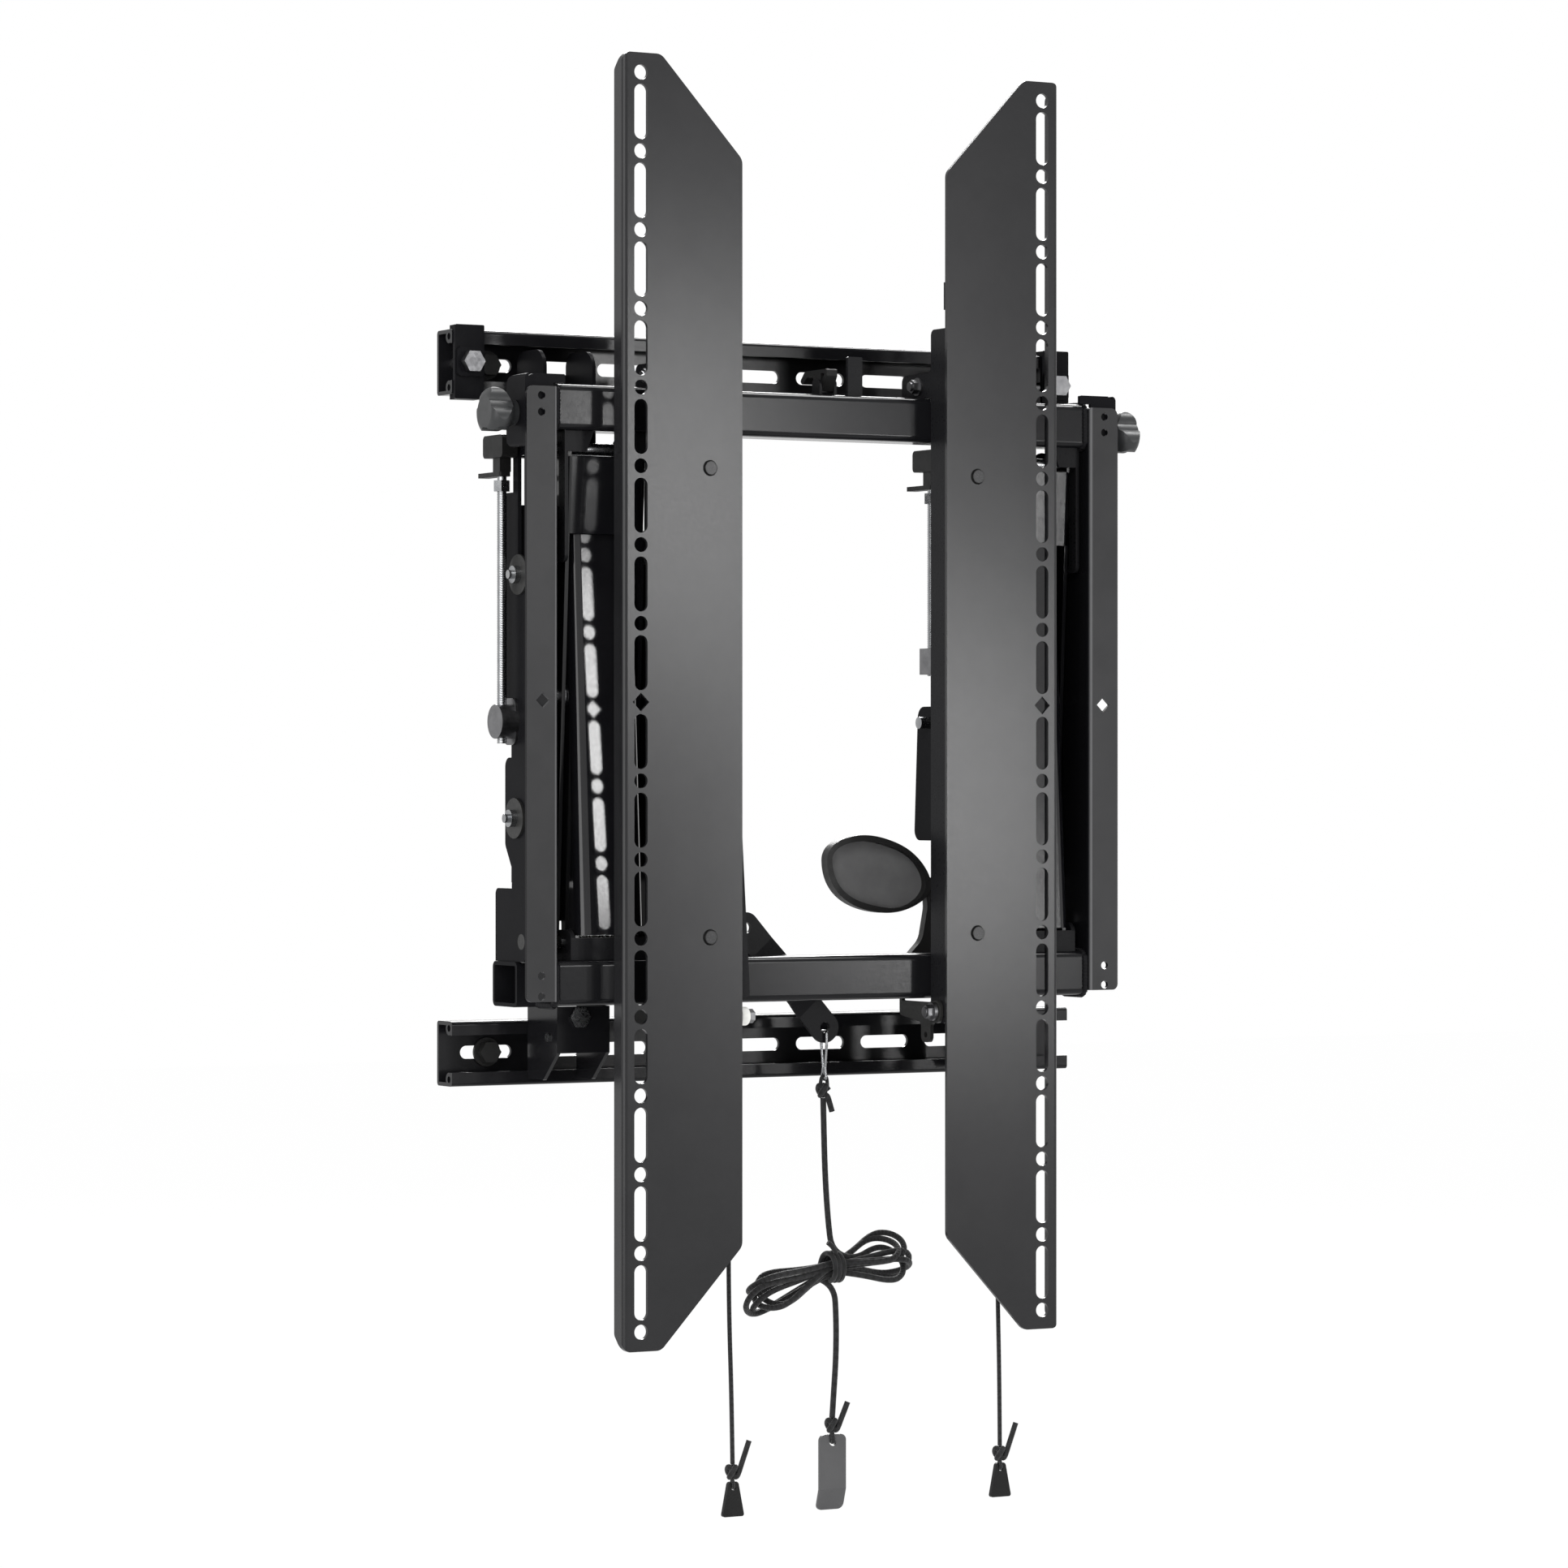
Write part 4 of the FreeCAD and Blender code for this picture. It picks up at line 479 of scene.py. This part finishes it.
# Loop of cord through a latch's eye, as offsets from the top of the pull cord
EYE_LOOP = [(0.4, 0, -1.5), (-1.3, 0, -3.0), (-4.8, 0, -3.0), (-6.8, 0, -5.5), (-6.4, 0, -9.5),
            (-3.3, 0, -11.0), (-0.4, -0.6, -10.5), (0.8, -1.0, -7.0)]
EYE_LOOP_RADIUS = 1.4

# Each turn of the hank: reach and height of its left and right folds, roll about its length and depth
HANK_MIDDLE = (24.4, -64.6, -367.5)
HANK_TURNS = [
    ((-68.0, -20.0), (52.0, 4.0), 0.70, -3.0),
    ((-60.0, -24.0), (54.0, 17.0), 0.95, 2.0),
    ((-54.0, -17.0), (60.0, 0.0), -0.80, 3.0),
    ((-64.0, -13.0), (48.0, 12.0), 1.10, -1.0),
    ((-57.0, -25.0), (58.0, -5.0), -1.15, 0.5),
]
TURN_RISE = 1.2
FOLD_RADIUS = 14.6
FOLD_ANGLES = (90, 45, 0, -45, -90)
NECK_SHARE = 0.34
NECK_SPREAD = 0.42
WAIST_SPREAD = 1.0
PINCH_LEAST = 0.4
PINCH_REACH = 60

# Cord wound about the hank's waist, and its tail as offsets from the hank's middle
TIE_STEPS = 34
TIE_STEPS_PER_TURN = 11
TIE_START = -4.5
TIE_ADVANCE = 0.28
TIE_REACH = 9.5
TIE_TAIL = [(-2, -10, 12), (-9, -9, 17)]
TIE_RADIUS = 1.7


def hank_fold(end, roll):
    """One fold of a turn: from the waist out to a round end and back, as offsets from the tie."""
    axis = Vector((end[0], 0, end[1]))
    along = axis.normalized()
    side = Vector((-along.z, 0, along.x))
    across = side * math.cos(roll) + Vector((0, math.sin(roll), 0))
    centre = axis - along * FOLD_RADIUS
    neck = axis * NECK_SHARE
    spread = across * (FOLD_RADIUS * NECK_SPREAD)
    bend = [centre + (along * math.cos(math.radians(a)) + across * math.sin(math.radians(a))) * FOLD_RADIUS
            for a in FOLD_ANGLES]
    return [across * WAIST_SPREAD, neck + spread] + bend + [neck - spread]


def hank_route():
    """Turns that pinch together at the tie and end in round folds."""
    offsets = []
    for index, (left, right, roll, depth) in enumerate(HANK_TURNS):
        rise = TURN_RISE * (index - len(HANK_TURNS) // 2)
        for offset in hank_fold(right, roll) + hank_fold(left, roll):
            pinch = min(1.0, offset.length / PINCH_REACH + PINCH_LEAST)
            offsets.append(offset + Vector((0, depth * pinch, rise)))
    return offset_points(HANK_MIDDLE, offsets[1:])


def tie_route():
    """Three turns about the hank's waist and a cut tail."""
    offsets = []
    for step in range(TIE_STEPS):
        angle = 2 * math.pi * step / TIE_STEPS_PER_TURN
        offsets.append((TIE_START + TIE_ADVANCE * step, TIE_REACH * math.cos(angle),
                        TIE_REACH * math.sin(angle)))
    return offset_points(HANK_MIDDLE, offsets + TIE_TAIL)


MAIN_ROUTE = UPPER_ROUTE + hank_route() + LOWER_ROUTE
main_top = MAIN_ROUTE[0]
main_end = MAIN_ROUTE[-1]
main_cord = cord_piece("release_cord_line", MAIN_ROUTE, MAIN_RADIUS, main_braid, "release_cord")
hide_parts("release_cord", "cord_hank")
main_pieces = [
    knot_piece("top_knot", main_top, *TOP_KNOT, "release_cord"),
    knot_piece("tag_knot", main_end, *TAG_KNOT, "release_cord"),
    cord_piece("hank_tie", tie_route(), TIE_RADIUS, knot_braid, "release_cord"),
    cord_piece("tag_loop", offset_points(main_end, TAB_LOOP, TAG_LOOP_SCALE), TAG_LOOP_RADIUS, knot_braid,
               "release_cord"),
    cord_piece("clip_loop", offset_points(main_top, CLIP_LOOP), CLIP_LOOP_RADIUS, knot_braid, "release_cord"),
]
main_length = length_of(MAIN_ROUTE)

for side, route in (("left", LEFT_ROUTE), ("right", RIGHT_ROUTE)):
    body = side + "_cord"
    top = route[0]
    end = route[-1]
    loop = cord_piece(side + "_eye_loop", offset_points(top, EYE_LOOP), EYE_LOOP_RADIUS, knot_braid, body)
    cord = cord_piece(side + "_pull_line", route, PULL_RADIUS, pull_braid, body)
    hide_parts(side + "_pull_cord")
    knot = knot_piece(side + "_pull_knot", end, *PULL_KNOT, body)
    eye = cord_piece(side + "_tab_loop", offset_points(end, TAB_LOOP), TAB_LOOP_RADIUS, knot_braid, body)
    length = length_of(route)


def ring_mesh(name, points, sides):
    """Closed smooth tube over rings of points, in millimetres, with as many points to a ring as sides."""
    last = len(points) - sides
    faces = [tuple(range(sides))[::-1]]
    for start in range(0, last, sides):
        for side in range(sides):
            a = start + side
            b = start + (side + 1) % sides
            faces.append((a, b, b + sides, a + sides))
    faces.append(tuple(range(last, last + sides)))
    mesh = bpy.data.meshes.new(name)
    mesh.from_pydata([tuple(value * MM for value in point) for point in points], [], faces)
    for polygon in mesh.polygons:
        polygon.use_smooth = True
    return mesh


# Height screws' threads, and each screw's place across and its lower end
THREAD_PITCH = 1.5
THREAD_STEPS = 6
THREAD_SIDES = 20
THREAD_INNER = 2.9
THREAD_OUTER = 3.2
THREAD_TOP = 138.3
SCREW_DEPTH = 50.5
LEFT_SCREW = (-212.0, -23.0)
RIGHT_SCREW = (109.0, 23.25)


def thread(name, x, bottom, body):
    """Rolled thread over a height screw's plain shank."""
    rings = int((THREAD_TOP - bottom) / THREAD_PITCH * THREAD_STEPS)
    points = []
    for ring in range(rings + 1):
        z = bottom + ring * THREAD_PITCH / THREAD_STEPS
        for side in range(THREAD_SIDES):
            turn = side / THREAD_SIDES
            phase = (z / THREAD_PITCH - turn) % 1.0
            radius = THREAD_INNER + (THREAD_OUTER - THREAD_INNER) * (1 - abs(2 * phase - 1))
            angle = 2 * math.pi * turn
            points.append((x + radius * math.cos(angle), -SCREW_DEPTH + radius * math.sin(angle), z))
    link_piece(name, ring_mesh(name, points, THREAD_SIDES), bright_zinc, body)


thread("left_screw_thread", *LEFT_SCREW, "left_height_screw")
thread("right_screw_thread", *RIGHT_SCREW, "right_height_screw")

# Weld ripples: radius, length and rings of one ripple, how it swells, and its size at the bead's ends
BEAD_RADIUS = 2.6
BEAD_STEP = 2.2
BEAD_RINGS = 3
BEAD_SIDES = 8
BEAD_LEAST = 0.82
BEAD_SWELL = 0.18
BEAD_END = 0.3

# Where the front tubes meet the posts: place across, heights, half height, depths and corner
WELD_X = 198.2
WELD_LEVELS = {"upper": 190.5, "lower": -175.5}
WELD_HALF = 14.2
WELD_BACK = -74
WELD_BEND = -97
WELD_FRONT = -100.8
WELD_CORNER = 4


def weld_bead(name, points, body):
    """Row of overlapping weld ripples along a line of points."""
    places = []
    for start, end in zip(points, points[1:]):
        a = Vector(start)
        b = Vector(end)
        count = max(2, int((b - a).length / (BEAD_STEP / BEAD_RINGS)))
        places += [a.lerp(b, step / count) for step in range(count)]
    places.append(Vector(points[-1]))
    last = len(places) - 1
    spots = []
    for index, place in enumerate(places):
        ahead = places[min(index + 1, last)] - places[max(index - 1, 0)]
        ahead.normalize()
        first = ahead.orthogonal().normalized()
        second = ahead.cross(first)
        swell = BEAD_RADIUS * (BEAD_LEAST + BEAD_SWELL * abs(math.sin(index * math.pi / BEAD_RINGS)))
        if index in (0, last):
            swell *= BEAD_END
        for side in range(BEAD_SIDES):
            angle = 2 * math.pi * side / BEAD_SIDES
            spots.append(place + (first * math.cos(angle) + second * math.sin(angle)) * swell)
    link_piece(name, ring_mesh(name, spots, BEAD_SIDES), frame_coat, body)


for side, x in (("left", -WELD_X), ("right", WELD_X)):
    for level, z in WELD_LEVELS.items():
        low = z - WELD_HALF
        high = z + WELD_HALF
        weld_bead(f"{side}_{level}_weld",
                  [(x, WELD_BACK, high), (x, WELD_BEND, high), (x, WELD_FRONT, high - WELD_CORNER),
                   (x, WELD_FRONT, low + WELD_CORNER), (x, WELD_BEND, low), (x, WELD_BACK, low)],
                  "front_frame")

# Studio lamps: place, target and size in metres, and power in watts
LAMPS = {
    "key": ((-2.2, -2.6, 2.4), (0, 0, 0), (1.6, 1.6), 55),
    "sheen_high": ((1.25, -2.7, 0.31), (-0.12, -0.12, 0.1), (0.22, 0.42), 7.0),
    "sheen_low": ((1.62, -2.7, -0.07), (0.12, -0.12, -0.05), (0.16, 0.46), 7.7),
    "top": ((1.55, -0.35, 2.7), (0, -0.1, 0), (1.4, 0.8), 75),
    "back_fill": ((1.4, 2.8, 1.6), (0, 0, 0), (1.6, 1.6), 140),
    "side_strip": ((-2.5, -1.4, 0.0), (0, -0.1, 0), (2.6, 2.2), 50),
}

for name, (place, target, size, power) in LAMPS.items():
    light = bpy.data.lights.new(name, "AREA")
    light.shape = "RECTANGLE"
    light.size, light.size_y = size
    light.energy = power
    lamp = bpy.data.objects.new(name, light)
    lamp.location = place
    lamp.rotation_euler = (Vector(target) - Vector(place)).to_track_quat("-Z", "Y").to_euler()
    bpy.context.scene.collection.objects.link(lamp)

# Background: white where it is seen or mirrored, softer where it lights the part
WHITE = (1, 1, 1, 1)
WHITE_STRENGTH = 1.0
SOFT_STRENGTH = 0.45
FLOOR_Z = -0.62
FLOOR_HALF = 7.0
FLOOR_TONE = (0.9, 0.9, 0.9, 1)
FLOOR_GLOW = 0.99


def backdrop_rays(graph):
    """1 where the camera, a mirror reflection or glass looks at the background."""
    rays = graph.add("ShaderNodeLightPath")
    both = graph.math("MAXIMUM", rays.outputs["Is Camera Ray"], rays.outputs["Is Glossy Ray"])
    return graph.math("MAXIMUM", both, rays.outputs["Is Transmission Ray"])


world = bpy.data.worlds.new("studio")
bpy.context.scene.world = world
world.use_nodes = True
graph = Graph(world.node_tree)
soft = graph.add("ShaderNodeBackground", Color=WHITE, Strength=SOFT_STRENGTH)
bright = graph.add("ShaderNodeBackground", Color=WHITE, Strength=WHITE_STRENGTH)
surface = graph.mix(backdrop_rays(graph), soft, bright)
graph.link(surface, graph.add("ShaderNodeOutputWorld").inputs["Surface"])

floor_corners = [(FLOOR_HALF * x, FLOOR_HALF * y, FLOOR_Z) for x, y in ((-1, -1), (1, -1), (1, 1), (-1, 1))]
floor_mesh = bpy.data.meshes.new("floor")
floor_mesh.from_pydata(floor_corners, [], [(0, 1, 2, 3)])
floor = bpy.data.objects.new("floor", floor_mesh)
bpy.context.scene.collection.objects.link(floor)
floor_material = bpy.data.materials.new("pale_floor")
floor_material.use_nodes = True
graph = Graph(floor_material.node_tree)
matt = graph.add("ShaderNodeBsdfDiffuse", Color=FLOOR_TONE)
glow = graph.add("ShaderNodeEmission", Color=WHITE, Strength=WHITE_STRENGTH)
surface = graph.mix(graph.math("MULTIPLY", backdrop_rays(graph), FLOOR_GLOW), matt, glow)
graph.link(surface, graph.add("ShaderNodeOutputMaterial").inputs["Surface"])
floor_mesh.materials.append(floor_material)
